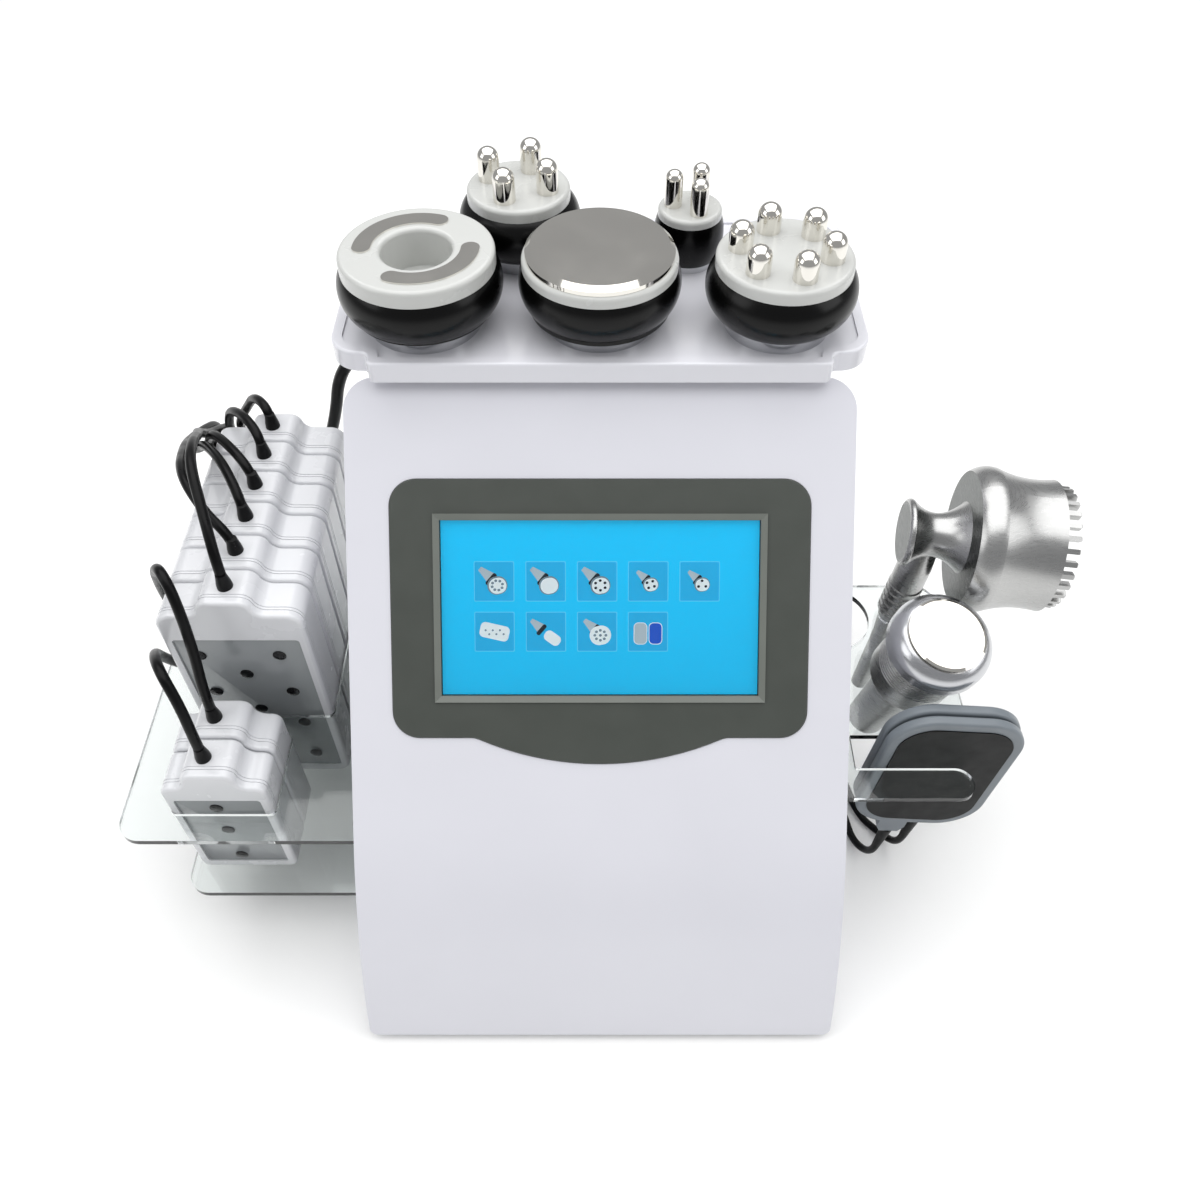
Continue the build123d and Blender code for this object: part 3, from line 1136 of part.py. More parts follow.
def sole_lead_route(i):
    start = boot_end(i)
    x = SOLE_SOCKETS_X[1 - i]
    shift = 9.0 * i
    down = math.radians(SOLE_PAD_LEAN)
    drop = start.Z / 2
    return [(start.X, start.Y, start.Z),
            (start.X - drop * math.sin(down), start.Y, start.Z - drop * math.cos(down)),
            (start.X - 9, start.Y + 15 - shift / 4, SOLE_LEAD_FLOOR),
            (172.0 + shift, -38.0, SOLE_LEAD_FLOOR), (163.0 + shift, 5.0, SOLE_LEAD_FLOOR),
            (160.0 + shift, 55.0, SOLE_LEAD_FLOOR), (156.0 + shift, 96.0, SOLE_LEAD_FLOOR),
            (143.0 + shift / 2, 124.0 + shift, SOLE_LEAD_FLOOR + 6),
            (x + 8, 132.0 + shift, 40.0), (x + 1, 128.0 + shift, 74.0),
            (x, 114.0 + shift / 2, SOCKET_LOWER_Z), (x, SOLE_LEAD_END_Y, SOCKET_LOWER_Z)]


def make_pad_leads():
    tubes = [lead_tube(f"small pad lead {i + 1}", small_lead_route(i), PAD_LEAD_RADIUS)
             for i in range(SMALL_COUNT)]
    tubes += [lead_tube(f"large pad lead {i + 1}", big_lead_route(i), PAD_LEAD_RADIUS)
              for i in range(PAD_COUNT)]
    return Compound(children=tubes)


def make_sole_leads():
    return Compound(children=[lead_tube(f"electrode lead {i + 1}", sole_lead_route(i), SOLE_LEAD_RADIUS)
                              for i in range(2)])


def socket_plug(x, z, lead_radius, reach):
    """A round plug on a rear socket, from the socket's face back to where its lead ends."""
    start = REAR_Y + SOCKET_REACH
    plug = along_y((x, start, z), PLUG_LENGTH * 2 / 3, PLUG_RADIUS)
    plug = chamfer(plug.edges().filter_by(GeomType.CIRCLE), PLUG_RADIUS / 8)
    tail = reach - start - PLUG_LENGTH * 2 / 3
    return plug + Pos(x, start + PLUG_LENGTH * 2 / 3, z) * Rot(-90, 0, 0) * Cone(
        PLUG_RADIUS * 2 / 3, lead_radius + HAIR_GAP, tail,
        align=(Align.CENTER, Align.CENTER, Align.MIN))


def make_lead_fittings():
    """The splitter where the eight leads join, and the three plugs on the rear sockets."""
    mid_x = PAD_LEFT_X - SPLITTER_SIDE
    size = SPLITTER_SIZE
    splitter = Pos(mid_x, SPLITTER_FRONT_Y + size[1] / 2, TRAY_TOP + size[2] / 2) * Box(*size)
    splitter = fillet(splitter.edges(), WALL)
    plugs = [socket_plug(PAD_SOCKET_X, SOCKET_LOWER_Z, TRUNK_RADIUS, TRUNK_ROUTE[-1][1])]
    plugs += [socket_plug(x, SOCKET_LOWER_Z, SOLE_LEAD_RADIUS, SOLE_LEAD_END_Y)
              for x in SOLE_SOCKETS_X]
    return Compound(children=[splitter] + plugs)


def build_nodes():
    nodes = {
        "housing_shell": make_housing_shell(),
        "screen_bezel": make_screen_bezel(),
        "display_glass": make_display_glass(),
        "display_module": make_display_module(),
        "base_plate": make_base_plate(),
        "feet": make_feet(),
        "rear_panel": make_rear_panel(),
        "rear_connectors": make_rear_connectors(),
        "power_switch": make_power_switch(),
        "fan_frame": make_fan_frame(),
        "fan_rotor": make_fan_rotor(),
        "power_supply": make_power_supply(),
        "vacuum_pump": make_vacuum_pump(),
        "handle_shelf": make_handle_shelf(),
        "shelf_bracket": make_shelf_bracket(),
        "left_holder": make_left_holder(),
        "right_holder": make_right_holder(),
        "ring_handle": make_handle(RING_PLACE, RING_BASE_RADIUS, RING_GRIP_RADIUS),
        "ring_bulb": make_bulb(RING_PLACE, RING_BASE_RADIUS, RING_BULB_RADIUS, RING_CAP_RADIUS),
        "ring_cap": make_ring_cap(),
        "ring_arcs": make_ring_arcs(),
        "cavitation_handle": make_handle(CAVITATION_PLACE, CAVITATION_BASE_RADIUS,
                                         CAVITATION_GRIP_RADIUS),
        "cavitation_bulb": make_bulb(CAVITATION_PLACE, CAVITATION_BASE_RADIUS,
                                     CAVITATION_BULB_RADIUS, CAVITATION_RIM_RADIUS),
        "cavitation_rim": make_cap(CAVITATION_PLACE, CAVITATION_RIM_RADIUS, CAVITATION_RIM_RISE),
        "cavitation_horn": make_cavitation_horn(),
        "photon_body": make_photon_body(),
        "photon_handle": make_photon_handle(),
        "photon_comb": make_photon_comb(),
        "photon_lens": make_photon_lens(),
        "probe_body": probe_body(),
        "probe_collar": make_probe_collar(),
        "probe_face": make_probe_face(),
        "pad_leads": make_pad_leads(),
        "pad_lead_trunk": lead_tube("pad lead trunk", TRUNK_ROUTE, TRUNK_RADIUS),
        "sole_leads": make_sole_leads(),
        "lead_fittings": make_lead_fittings(),
    }
    heads = (
        ("six", SIX_PLACE, SIX_BASE_RADIUS, SIX_GRIP_RADIUS, SIX_BULB_RADIUS, SIX_CAP_RADIUS,
         SIX_CAP_RISE, 0, (SIX_PIN_RADIUS, SIX_PIN_LENGTH, SIX_PIN_CIRCLE, SIX_PIN_TURN, 6)),
        ("four", FOUR_PLACE, FOUR_BASE_RADIUS, FOUR_GRIP_RADIUS, FOUR_BULB_RADIUS,
         FOUR_CAP_RADIUS, FOUR_CAP_RISE, 0,
         (FOUR_PIN_RADIUS, FOUR_PIN_LENGTH, FOUR_PIN_CIRCLE, FOUR_PIN_TURN, 4)),
        ("three", THREE_PLACE, THREE_BASE_RADIUS, THREE_GRIP_RADIUS, THREE_BULB_RADIUS,
         THREE_CAP_RADIUS, THREE_CAP_RISE, THREE_BULB_DROP,
         (THREE_PIN_RADIUS, THREE_PIN_LENGTH, THREE_PIN_CIRCLE, THREE_PIN_TURN, 3)),
    )
    for name, place, base, grip, bulb, cap, rise, drop, pins in heads:
        nodes[f"{name}_handle"] = make_handle(place, base, grip, drop)
        nodes[f"{name}_bulb"] = make_bulb(place, base, bulb, cap, drop)
        nodes[f"{name}_cap"] = make_cap(place, cap, rise, drop)
        nodes[f"{name}_pins"] = make_pins(place, cap_bottom(drop) + rise, *pins)
    for i in range(PAD_COUNT):
        nodes[f"large_pad_{i + 1}"] = make_pad(PAD_WIDTH, PAD_HEIGHT, PAD_HUMP, PAD_THICK,
                                               big_pad_front(i))
    for i in range(SMALL_COUNT):
        nodes[f"small_pad_{i + 1}"] = make_pad(SMALL_WIDTH, SMALL_HEIGHT, SMALL_HUMP, SMALL_THICK,
                                               small_pad_front(i))
    for i, side in enumerate(("front", "rear")):
        nodes[f"{side}_sole_pad"] = make_sole_pad(i)
        nodes[f"{side}_sole"] = make_sole(i)
    return nodes


def main():
    os.makedirs("parts", exist_ok=True)
    for name, shape in build_nodes().items():
        export_step(shape, f"parts/{name}.step")


main()
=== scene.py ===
import math

import bmesh
import bpy
from bpy.props import FloatProperty, FloatVectorProperty, IntProperty, PointerProperty
from mathutils import Matrix, Vector


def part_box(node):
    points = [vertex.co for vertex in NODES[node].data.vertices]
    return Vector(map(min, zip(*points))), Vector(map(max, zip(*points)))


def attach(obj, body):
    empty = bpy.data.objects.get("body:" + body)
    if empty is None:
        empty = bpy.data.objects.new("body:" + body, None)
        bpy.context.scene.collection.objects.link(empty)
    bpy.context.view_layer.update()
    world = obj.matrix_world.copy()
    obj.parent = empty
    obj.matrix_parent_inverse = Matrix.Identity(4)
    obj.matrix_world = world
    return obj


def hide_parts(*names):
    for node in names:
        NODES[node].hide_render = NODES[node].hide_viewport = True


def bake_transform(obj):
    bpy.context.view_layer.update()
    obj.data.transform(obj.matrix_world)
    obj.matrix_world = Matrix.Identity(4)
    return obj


bl_info = {
    "name": "Body contouring console",
    "version": (1, 0, 0),
    "blender": (4, 5, 0),
    "location": "3D View > Sidebar > Console",
    "description": "Dresses the body contouring console: finishes, screen, laser pads and leads",
    "category": "Object",
}

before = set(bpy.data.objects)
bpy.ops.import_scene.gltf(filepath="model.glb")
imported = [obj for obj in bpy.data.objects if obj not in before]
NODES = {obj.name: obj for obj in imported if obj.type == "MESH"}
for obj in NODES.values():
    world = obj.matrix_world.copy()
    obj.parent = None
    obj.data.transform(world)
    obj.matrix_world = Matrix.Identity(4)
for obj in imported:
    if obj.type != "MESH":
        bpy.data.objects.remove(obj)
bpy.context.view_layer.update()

PANEL_TURN = math.radians(46.15)          # the slanted front, from the table
PANEL_TOP = (0.0, 0.0576, 0.311)          # middle of its top edge
HEADS = ("ring", "cavitation", "six", "four", "three")
SCREEN_MID = 0.1265                       # down the slope to the screen's middle
PICTURE_SIZE = (0.1766, 0.0976)
TRIM_SIZE = (0.1842, 0.1052)
TRIM_BAND = 0.0036
TRIM_RISE = 0.0011                        # at its outer edge, above the surround
TRIM_LIFT = 0.00102                       # the surround's face, above the slanted front
LAYER_STEP = 0.000045                     # between the picture's layers
LAYER_THICK = 0.00003
LARGE_PADS = tuple(f"large_pad_{i}" for i in range(1, 7))
SMALL_PADS = ("small_pad_1", "small_pad_2")
PAD_BODIES = {name: name.replace("pad", "laser") for name in LARGE_PADS + SMALL_PADS}


def linear(code):
    """Linear colour from an sRGB hex value."""
    channels = [int(code[i:i + 2], 16) / 255 for i in (1, 3, 5)]
    return [c / 12.92 if c <= 0.04045 else ((c + 0.055) / 1.055) ** 2.4 for c in channels]


def colour(code, label, description):
    return FloatVectorProperty(name=label, description=description, default=linear(code),
                               subtype="COLOR", min=0, max=1)


def length(value, label, description):
    return FloatProperty(name=label, description=description, default=value, unit="LENGTH",
                         subtype="DISTANCE", min=0)


class ConsoleColours(bpy.types.PropertyGroup):
    """Colours a user may want to change."""
    casing: colour("#DCDCE3", "Casing", "Moulded white casing")
    shelf: colour("#E4E4EA", "Shelf", "Glossy white handpiece shelf")
    surround: colour("#444843", "Surround", "Dark screen surround")
    picture: colour("#00BCF0", "Screen", "Ground colour of the screen")
    bulb: colour("#030303", "Bulb", "Black grip of the shelf handpieces")
    cap: colour("#C7C8C5", "Cap", "Pale cap of the shelf handpieces")
    pad: colour("#DADBDE", "Laser pad", "Shells of the laser pads")
    window: colour("#8B8F91", "Window", "Window of the laser pads")
    lead: colour("#050506", "Lead", "Jacket of the leads")


class ConsoleSizes(bpy.types.PropertyGroup):
    """Sizes a user may want to change."""
    tile: length(0.0225, "Tile", "Side of a menu tile on the screen")
    tile_line: length(0.0005, "Tile line", "Width of a menu tile's outline")
    diode: length(0.0039, "Diode", "Radius of a laser diode's cap")
    screw: length(0.003, "Screw", "Head radius of the holders' screws")
    pad_lead: length(0.006, "Pad lead", "Diameter of a laser pad's lead")
    trunk: length(0.008, "Trunk", "Diameter of the joined lead")
    electrode_lead: length(0.005, "Electrode lead", "Diameter of an electrode pad's lead")
    sides: IntProperty(name="Sides", description="Sides of a turned piece", default=48, min=12)


# Shader helpers

def add(tree, kind, sockets=(), **settings):
    """Adds a node, sets its properties and sockets, and links sockets given as values."""
    node = tree.nodes.new(kind)
    for key, value in settings.items():
        setattr(node, key, value)
    for key, value in dict(sockets).items():
        if isinstance(value, bpy.types.NodeSocket):
            tree.links.new(value, node.inputs[key])
        else:
            node.inputs[key].default_value = value
    return node


def rgba(value):
    return (*value[:3], 1.0)


def new_material(name):
    """An empty node material with its tree, its shader and its object coordinates."""
    material = bpy.data.materials.new(name)
    material.use_nodes = True
    tree = material.node_tree
    tree.nodes.clear()
    shader = add(tree, "ShaderNodeBsdfPrincipled")
    add(tree, "ShaderNodeOutputMaterial", {"Surface": shader.outputs[0]})
    place = add(tree, "ShaderNodeTexCoord").outputs["Object"]
    return material, tree, shader, place


def tinted(tree, place, tone, spread, scale):
    """The tone with cloudy patches this much lighter and darker, as moulded goods have."""
    noise = add(tree, "ShaderNodeTexNoise", {"Vector": place, "Scale": scale, "Detail": 3.0})
    dark = [c * (1 - spread) for c in tone[:3]]
    light = [min(1.0, c * (1 + spread)) for c in tone[:3]]
    ramp = add(tree, "ShaderNodeValToRGB", {"Fac": noise.outputs["Fac"]})
    ramp.color_ramp.elements[0].position = 0.3
    ramp.color_ramp.elements[0].color = rgba(dark)
    ramp.color_ramp.elements[1].position = 0.7
    ramp.color_ramp.elements[1].color = rgba(light)
    return ramp.outputs["Color"]


def roughened(tree, place, low, high, scale):
    """Roughness that wanders between two values."""
    noise = add(tree, "ShaderNodeTexNoise", {"Vector": place, "Scale": scale, "Detail": 4.0})
    spread = add(tree, "ShaderNodeMapRange", {"Value": noise.outputs["Fac"], "From Min": 0.3,
                                              "From Max": 0.7, "To Min": low, "To Max": high})
    return spread.outputs["Result"]


def grained(tree, place, scale, height, strength):
    """A fine bump: grain size is one over scale, in metres."""
    noise = add(tree, "ShaderNodeTexNoise", {"Vector": place, "Scale": scale, "Detail": 2.0})
    bump = add(tree, "ShaderNodeBump", {"Height": noise.outputs["Fac"], "Distance": height,
                                        "Strength": strength})
    return bump.outputs["Normal"]


def wire(tree, shader, **links):
    """Links outputs to the shader's sockets, by socket name with underscores for spaces."""
    for key, output in links.items():
        tree.links.new(output, shader.inputs[key.replace("_", " ")])


# Materials, named for what the real ones are

def injection_moulded_abs(name, tone, low=0.28, high=0.36, coat=0.25, shine=0.5):
    """Gloss ABS from a polished mould: even tone, a soft sheen and faint flow marks."""
    material, tree, shader, place = new_material(name)
    shader.inputs["IOR"].default_value = 1.53
    shader.inputs["Specular IOR Level"].default_value = shine
    shader.inputs["Coat Weight"].default_value = coat
    shader.inputs["Coat Roughness"].default_value = 0.12
    wire(tree, shader, Base_Color=tinted(tree, place, tone, 0.012, 14.0),
         Roughness=roughened(tree, place, low, high, 30.0),
         Normal=grained(tree, place, 900.0, 0.00004, 0.12))
    return material


def spark_textured_abs(name, tone, roughness=0.5):
    """ABS from a spark-eroded mould: fine even grain that dulls the shine."""
    material, tree, shader, place = new_material(name)
    shader.inputs["IOR"].default_value = 1.53
    wire(tree, shader, Base_Color=tinted(tree, place, tone, 0.05, 40.0),
         Roughness=roughened(tree, place, roughness - 0.06, roughness + 0.06, 60.0),
         Normal=grained(tree, place, 1400.0, 0.00006, 0.3))
    return material


def moulded_rubber(name, tone, roughness=0.62):
    """Rubber: dark, soft highlights, with dust-fine grain."""
    material, tree, shader, place = new_material(name)
    shader.inputs["IOR"].default_value = 1.52
    shader.inputs["Specular IOR Level"].default_value = 0.16
    wire(tree, shader, Base_Color=tinted(tree, place, tone, 0.12, 60.0),
         Roughness=roughened(tree, place, roughness - 0.08, roughness + 0.08, 90.0),
         Normal=grained(tree, place, 2200.0, 0.00005, 0.35))
    return material


def painted_dark_reflection(tree, tint, way):
    """The tint, much darker on the flat discs that face one way: a painted dark reflection, as
    those faces mirror dark surroundings.
    """
    facing = add(tree, "ShaderNodeTexCoord").outputs["Normal"]
    share = add(tree, "ShaderNodeVectorMath", {0: facing, 1: way}, operation="DOT_PRODUCT")
    flat = add(tree, "ShaderNodeMath", {0: share.outputs["Value"], 1: 0.985},
               operation="GREATER_THAN")
    mix = add(tree, "ShaderNodeMix", {"Factor": flat.outputs[0]}, data_type="RGBA")
    tree.links.new(tint, mix.inputs[6])
    # 5E615F is the painted dark reflection on the discs that face the given way
    mix.inputs[7].default_value = rgba(linear("#5E615F"))
    return mix.outputs[2]


def satin_metal(name, tone, low, high, streak=(1.0, 1.0, 14.0), disc=None):
    """Bead-blasted or turned aluminium: bright, with soft streaks from the tool."""
    material, tree, shader, place = new_material(name)
    shader.inputs["Metallic"].default_value = 1.0
    stretched = add(tree, "ShaderNodeMapping", {"Vector": place, "Scale": streak})
    noise = add(tree, "ShaderNodeTexNoise", {"Vector": stretched.outputs[0], "Scale": 160.0,
                                             "Detail": 4.0})
    rough = add(tree, "ShaderNodeMapRange", {"Value": noise.outputs["Fac"], "From Min": 0.3,
                                             "From Max": 0.7, "To Min": low, "To Max": high})
    tint = tinted(tree, place, tone, 0.04, 25.0)
    # disc, when given, is the axis whose facing discs get a painted dark reflection
    if disc:
        tint = painted_dark_reflection(tree, tint, disc)
    wire(tree, shader, Base_Color=tint, Roughness=rough.outputs["Result"],
         Normal=grained(tree, place, 2600.0, 0.00003, 0.15))
    return material


def polished_steel(name, tone):
    """Mirror-polished stainless steel: clear reflections with a few faint wipe marks."""
    material, tree, shader, place = new_material(name)
    shader.inputs["Metallic"].default_value = 1.0
    wire(tree, shader, Base_Color=tinted(tree, place, tone, 0.03, 18.0),
         Roughness=roughened(tree, place, 0.05, 0.13, 45.0))
    return material


def cast_acrylic(name, tone):
    """Clear acrylic sheet: bright cut edges, a faint cool tint and light handling haze."""
    material, tree, shader, place = new_material(name)
    shader.inputs["Base Color"].default_value = rgba(tone)
    shader.inputs["Transmission Weight"].default_value = 1.0
    shader.inputs["IOR"].default_value = 1.49
    wire(tree, shader, Roughness=roughened(tree, place, 0.01, 0.06, 40.0))
    return material


def cover_glass(name):
    """Float glass over the screen: clear and smooth."""
    material, tree, shader, place = new_material(name)
    shader.inputs["Base Color"].default_value = (1.0, 1.0, 1.0, 1.0)
    shader.inputs["Transmission Weight"].default_value = 1.0
    shader.inputs["IOR"].default_value = 1.45
    wire(tree, shader, Roughness=roughened(tree, place, 0.0, 0.02, 60.0))
    return material


def lit_layer(name, tone, glow, fade=0.0):
    """Light from the screen: a tone that may fade down the slope."""
    material, tree, shader, place = new_material(name)
    low = rgba([c * (1 - fade) for c in tone[:3]])
    height = add(tree, "ShaderNodeSeparateXYZ", {"Vector": place})
    ramp_in = add(tree, "ShaderNodeMapRange", {"Value": height.outputs["Z"], "From Min": 0.18,
                                               "From Max": 0.255})
    ramp = add(tree, "ShaderNodeValToRGB", {"Fac": ramp_in.outputs["Result"]})
    ramp.color_ramp.elements[0].color = low
    ramp.color_ramp.elements[1].color = rgba(tone)
    shader.inputs["Roughness"].default_value = 0.3
    shader.inputs["Specular IOR Level"].default_value = 0.0
    shader.inputs["Emission Strength"].default_value = glow
    wire(tree, shader, Base_Color=ramp.outputs["Color"], Emission_Color=ramp.outputs["Color"])
    return material


def finishes():
    """Every material of the console, made once from the user's colours."""
    tones = bpy.context.scene.console_colours
    made = {
        "casing": injection_moulded_abs("casing ABS", tones.casing),
        "shelf": injection_moulded_abs("shelf ABS", tones.shelf, 0.16, 0.24, 0.5),
        "surround": spark_textured_abs("surround ABS", tones.surround, 0.42),
        "bulb": injection_moulded_abs("bulb ABS", tones.bulb, 0.2, 0.28, 0.0, 0.22),
        "cap": injection_moulded_abs("cap ABS", tones.cap, 0.22, 0.3, 0.3),
        "pad": injection_moulded_abs("laser pad ABS", tones.pad, 0.22, 0.3, 0.4),
        "window": injection_moulded_abs("smoked window", tones.window, 0.12, 0.2, 0.2),
        "black": spark_textured_abs("black ABS", linear("#141516"), 0.45),
        "board": spark_textured_abs("circuit board", linear("#24513A"), 0.4),
        "rubber": moulded_rubber("foot rubber", linear("#161617")),
        "sole": moulded_rubber("conductive rubber", linear("#070808"), 0.42),
        "soft_grey": spark_textured_abs("electrode back", linear("#737A80"), 0.4),
        "lead": moulded_rubber("lead jacket", tones.lead, 0.34),
        "steel": spark_textured_abs("coated steel", linear("#C4C6CB"), 0.38),
        "aluminium": satin_metal("satin aluminium", linear("#B6B6B5"), 0.24, 0.34),
        # the massager's back disc and knob face carry a painted dark reflection
        "massager": satin_metal("satin massager aluminium", linear("#B6B6B5"), 0.24, 0.34,
                                disc=(-0.9935, 0.108, 0.033)),
        "bright": satin_metal("turned aluminium", linear("#C6C7CA"), 0.18, 0.28),
        "chrome": polished_steel("polished steel", linear("#E6E3DC")),
        "acrylic": cast_acrylic("cast acrylic", linear("#EDF1F0")),
        "glass": cover_glass("cover glass"),
        "lens": injection_moulded_abs("milky lens", linear("#DADADD"), 0.2, 0.3, 0.3),
        "picture": lit_layer("screen ground", tones.picture, 0.5, 0.16),
        "tile": lit_layer("tile ground", linear("#14A6DA"), 0.48, 0.1),
        "tile_line": lit_layer("tile outline", linear("#4CC2EC"), 0.5, 0.1),
        "icon_white": lit_layer("picture white", linear("#DCE8EC"), 0.32),
        "icon_pale": lit_layer("picture pale grey", linear("#A9BAC3"), 0.32),
        "icon_grey": lit_layer("picture grey", linear("#6F8793"), 0.3),
        "icon_dark": lit_layer("picture dark", linear("#0B1B26"), 0.3),
        "icon_blue": lit_layer("picture blue", linear("#1450BE"), 0.4),
        "trim": spark_textured_abs("screen trim ABS", linear("#6E726C"), 0.38),
        "diode": injection_moulded_abs("diode cap", linear("#0A0B0C"), 0.12, 0.2, 0.1, 0.2),
        "contact": satin_metal("gilt contact", linear("#C9A45A"), 0.2, 0.3),
    }
    return made


FINISH = {}


def paint(obj, finish):
    """Gives the whole piece one finish."""
    obj.data.materials.clear()
    obj.data.materials.append(FINISH[finish])


# Modelling helpers

def start_piece():
    """Nothing is selected, and nothing is in edit mode."""
    if bpy.context.object is not None and bpy.context.object.mode != "OBJECT":
        bpy.ops.object.mode_set(mode="OBJECT")
    bpy.ops.object.select_all(action="DESELECT")


def pick(obj):
    start_piece()
    obj.select_set(True)
    bpy.context.view_layer.objects.active = obj


def rest_at_origin(obj):
    pick(obj)
    bpy.ops.object.transform_apply(location=True, rotation=True, scale=True)


def outward(obj):
    pick(obj)
    bpy.ops.object.mode_set(mode="EDIT")
    bpy.ops.mesh.select_all(action="SELECT")
    bpy.ops.mesh.remove_doubles(threshold=0.000002)
    bpy.ops.mesh.normals_make_consistent(inside=False)
    bpy.ops.object.mode_set(mode="OBJECT")


def complete(obj, name, finish, body, smooth=40):
    """Names, finishes and shades a piece, and puts it on its body."""
    obj.name = name
    obj.data.name = name
    rest_at_origin(obj)
    outward(obj)
    pick(obj)
    bpy.ops.object.shade_smooth_by_angle(angle=math.radians(smooth))
    paint(obj, finish)
    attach(obj, body)
    return obj


def select_faces(obj, test):
    """In edit mode, selects the faces that pass a test on their centre and normal."""
    bpy.ops.mesh.select_mode(type="FACE")
    mesh = bmesh.from_edit_mesh(obj.data)
    for face in mesh.faces:
        face.select_set(test(face.calc_center_median(), face.normal))
    mesh.select_flush_mode()
    bmesh.update_edit_mesh(obj.data)


def rounded_plate(width, height, thick, corner, segments=6, edge=0.0):
    """A flat plate on the XY plane with round corners; its face looks up from z = thick."""
    start_piece()
    bpy.ops.mesh.primitive_plane_add(size=1)
    plate = bpy.context.object
    plate.scale = (width, height, 1)
    bpy.ops.object.transform_apply(location=False, rotation=False, scale=True)
    bpy.ops.object.mode_set(mode="EDIT")
    bpy.ops.mesh.select_all(action="SELECT")
    if corner:
        bpy.ops.mesh.bevel(offset=corner, segments=segments, affect="VERTICES")
    bpy.ops.mesh.select_all(action="SELECT")
    bpy.ops.mesh.extrude_region_move(TRANSFORM_OT_translate={"value": (0, 0, thick)})
    if edge:
        bpy.ops.mesh.inset(thickness=edge)
        bpy.ops.transform.translate(value=(0, 0, edge / 2))
    bpy.ops.object.mode_set(mode="OBJECT")
    return plate


def turned(profile, sides=None):
    """A turned piece about Z: a ring is extruded and scaled from station to station."""
    start_piece()
    sides = sides or bpy.context.scene.console_sizes.sides
    radius, height = profile[0]
    bpy.ops.mesh.primitive_circle_add(vertices=sides, radius=radius, fill_type="NGON",
                                      location=(0, 0, height))
    piece = bpy.context.object
    bpy.ops.object.transform_apply(location=True, rotation=True, scale=True)
    bpy.ops.object.mode_set(mode="EDIT")
    bpy.ops.mesh.select_all(action="SELECT")
    for (r0, z0), (r1, z1) in zip(profile, profile[1:]):
        bpy.ops.mesh.extrude_region_move(TRANSFORM_OT_translate={"value": (0, 0, z1 - z0)})
        if r0 != r1:
            share = r1 / r0
            bpy.ops.transform.resize(value=(share, share, 1), center_override=(0, 0, z1))
    bpy.ops.object.mode_set(mode="OBJECT")
    return piece


def own_copy(obj, matrix):
    """A copy with its own mesh, set in place by a matrix."""
    start_piece()
    twin = obj.copy()
    twin.data = obj.data.copy()
    bpy.context.scene.collection.objects.link(twin)
    twin.parent = None
    twin.matrix_world = matrix
    return twin


def placed(obj, place, turn=(0, 0, 0)):
    obj.matrix_world = Matrix.Translation(place) @ Matrix.Rotation(turn[2], 4, "Z") @ \
        Matrix.Rotation(turn[1], 4, "Y") @ Matrix.Rotation(turn[0], 4, "X")
    return obj


def join(objects):
    """Several like pieces made one."""
    pick(objects[0])
    for obj in objects[1:]:
        obj.select_set(True)
    bpy.ops.object.join()
    return bpy.context.object


def on_panel(x, s, lift):
    """A place on the slanted front: across, down the slope from its top edge, and out."""
    up = Vector((0, math.cos(PANEL_TURN), math.sin(PANEL_TURN)))
    out = Vector((0, -math.sin(PANEL_TURN), math.cos(PANEL_TURN)))
    spot = Vector(PANEL_TOP) - up * s + out * lift
    return spot + Vector((x, 0, 0))


def panel_matrix(x, s, lift, spin=0.0):
    return Matrix.Translation(on_panel(x, s, lift)) @ Matrix.Rotation(PANEL_TURN, 4, "X") @ \
        Matrix.Rotation(spin, 4, "Z")


# Operators

class CONSOLE_OT_finishes(bpy.types.Operator):
    """Gives every carried-over solid its finish"""
    bl_idname = "console.finishes"
    bl_label = "Finishes"

    plan = {
        "casing": ("housing_shell", "rear_panel"), "shelf": ("handle_shelf",),
        "surround": ("screen_bezel",), "glass": ("display_glass",),
        "board": ("display_module",), "rubber": ("feet",),
        "black": ("rear_connectors", "power_switch", "fan_frame", "fan_rotor", "vacuum_pump",
                  "lead_fittings"),
        "steel": ("base_plate", "power_supply", "shelf_bracket"),
        "acrylic": ("left_holder", "right_holder"),
        "massager": ("photon_body",), "aluminium": ("photon_handle", "photon_comb", "probe_body"),
        "bright": ("probe_collar",), "chrome": ("probe_face", "cavitation_horn", "ring_arcs",
                                                "six_pins", "four_pins", "three_pins"),
        "lens": ("photon_lens",), "soft_grey": ("front_sole_pad", "rear_sole_pad"),
        "sole": ("front_sole", "rear_sole"), "pad": LARGE_PADS + SMALL_PADS,
        "bulb": tuple(f"{head}_bulb" for head in HEADS),
        "cap": ("ring_cap", "cavitation_rim", "six_cap", "four_cap", "three_cap"),
    }

    def execute(self, context):
        FINISH.update(finishes())
        for head in HEADS:
            paint(NODES[f"{head}_handle"], "bright")
        for finish, names in self.plan.items():
            for name in names:
                paint(NODES[name], finish)
        return {"FINISHED"}


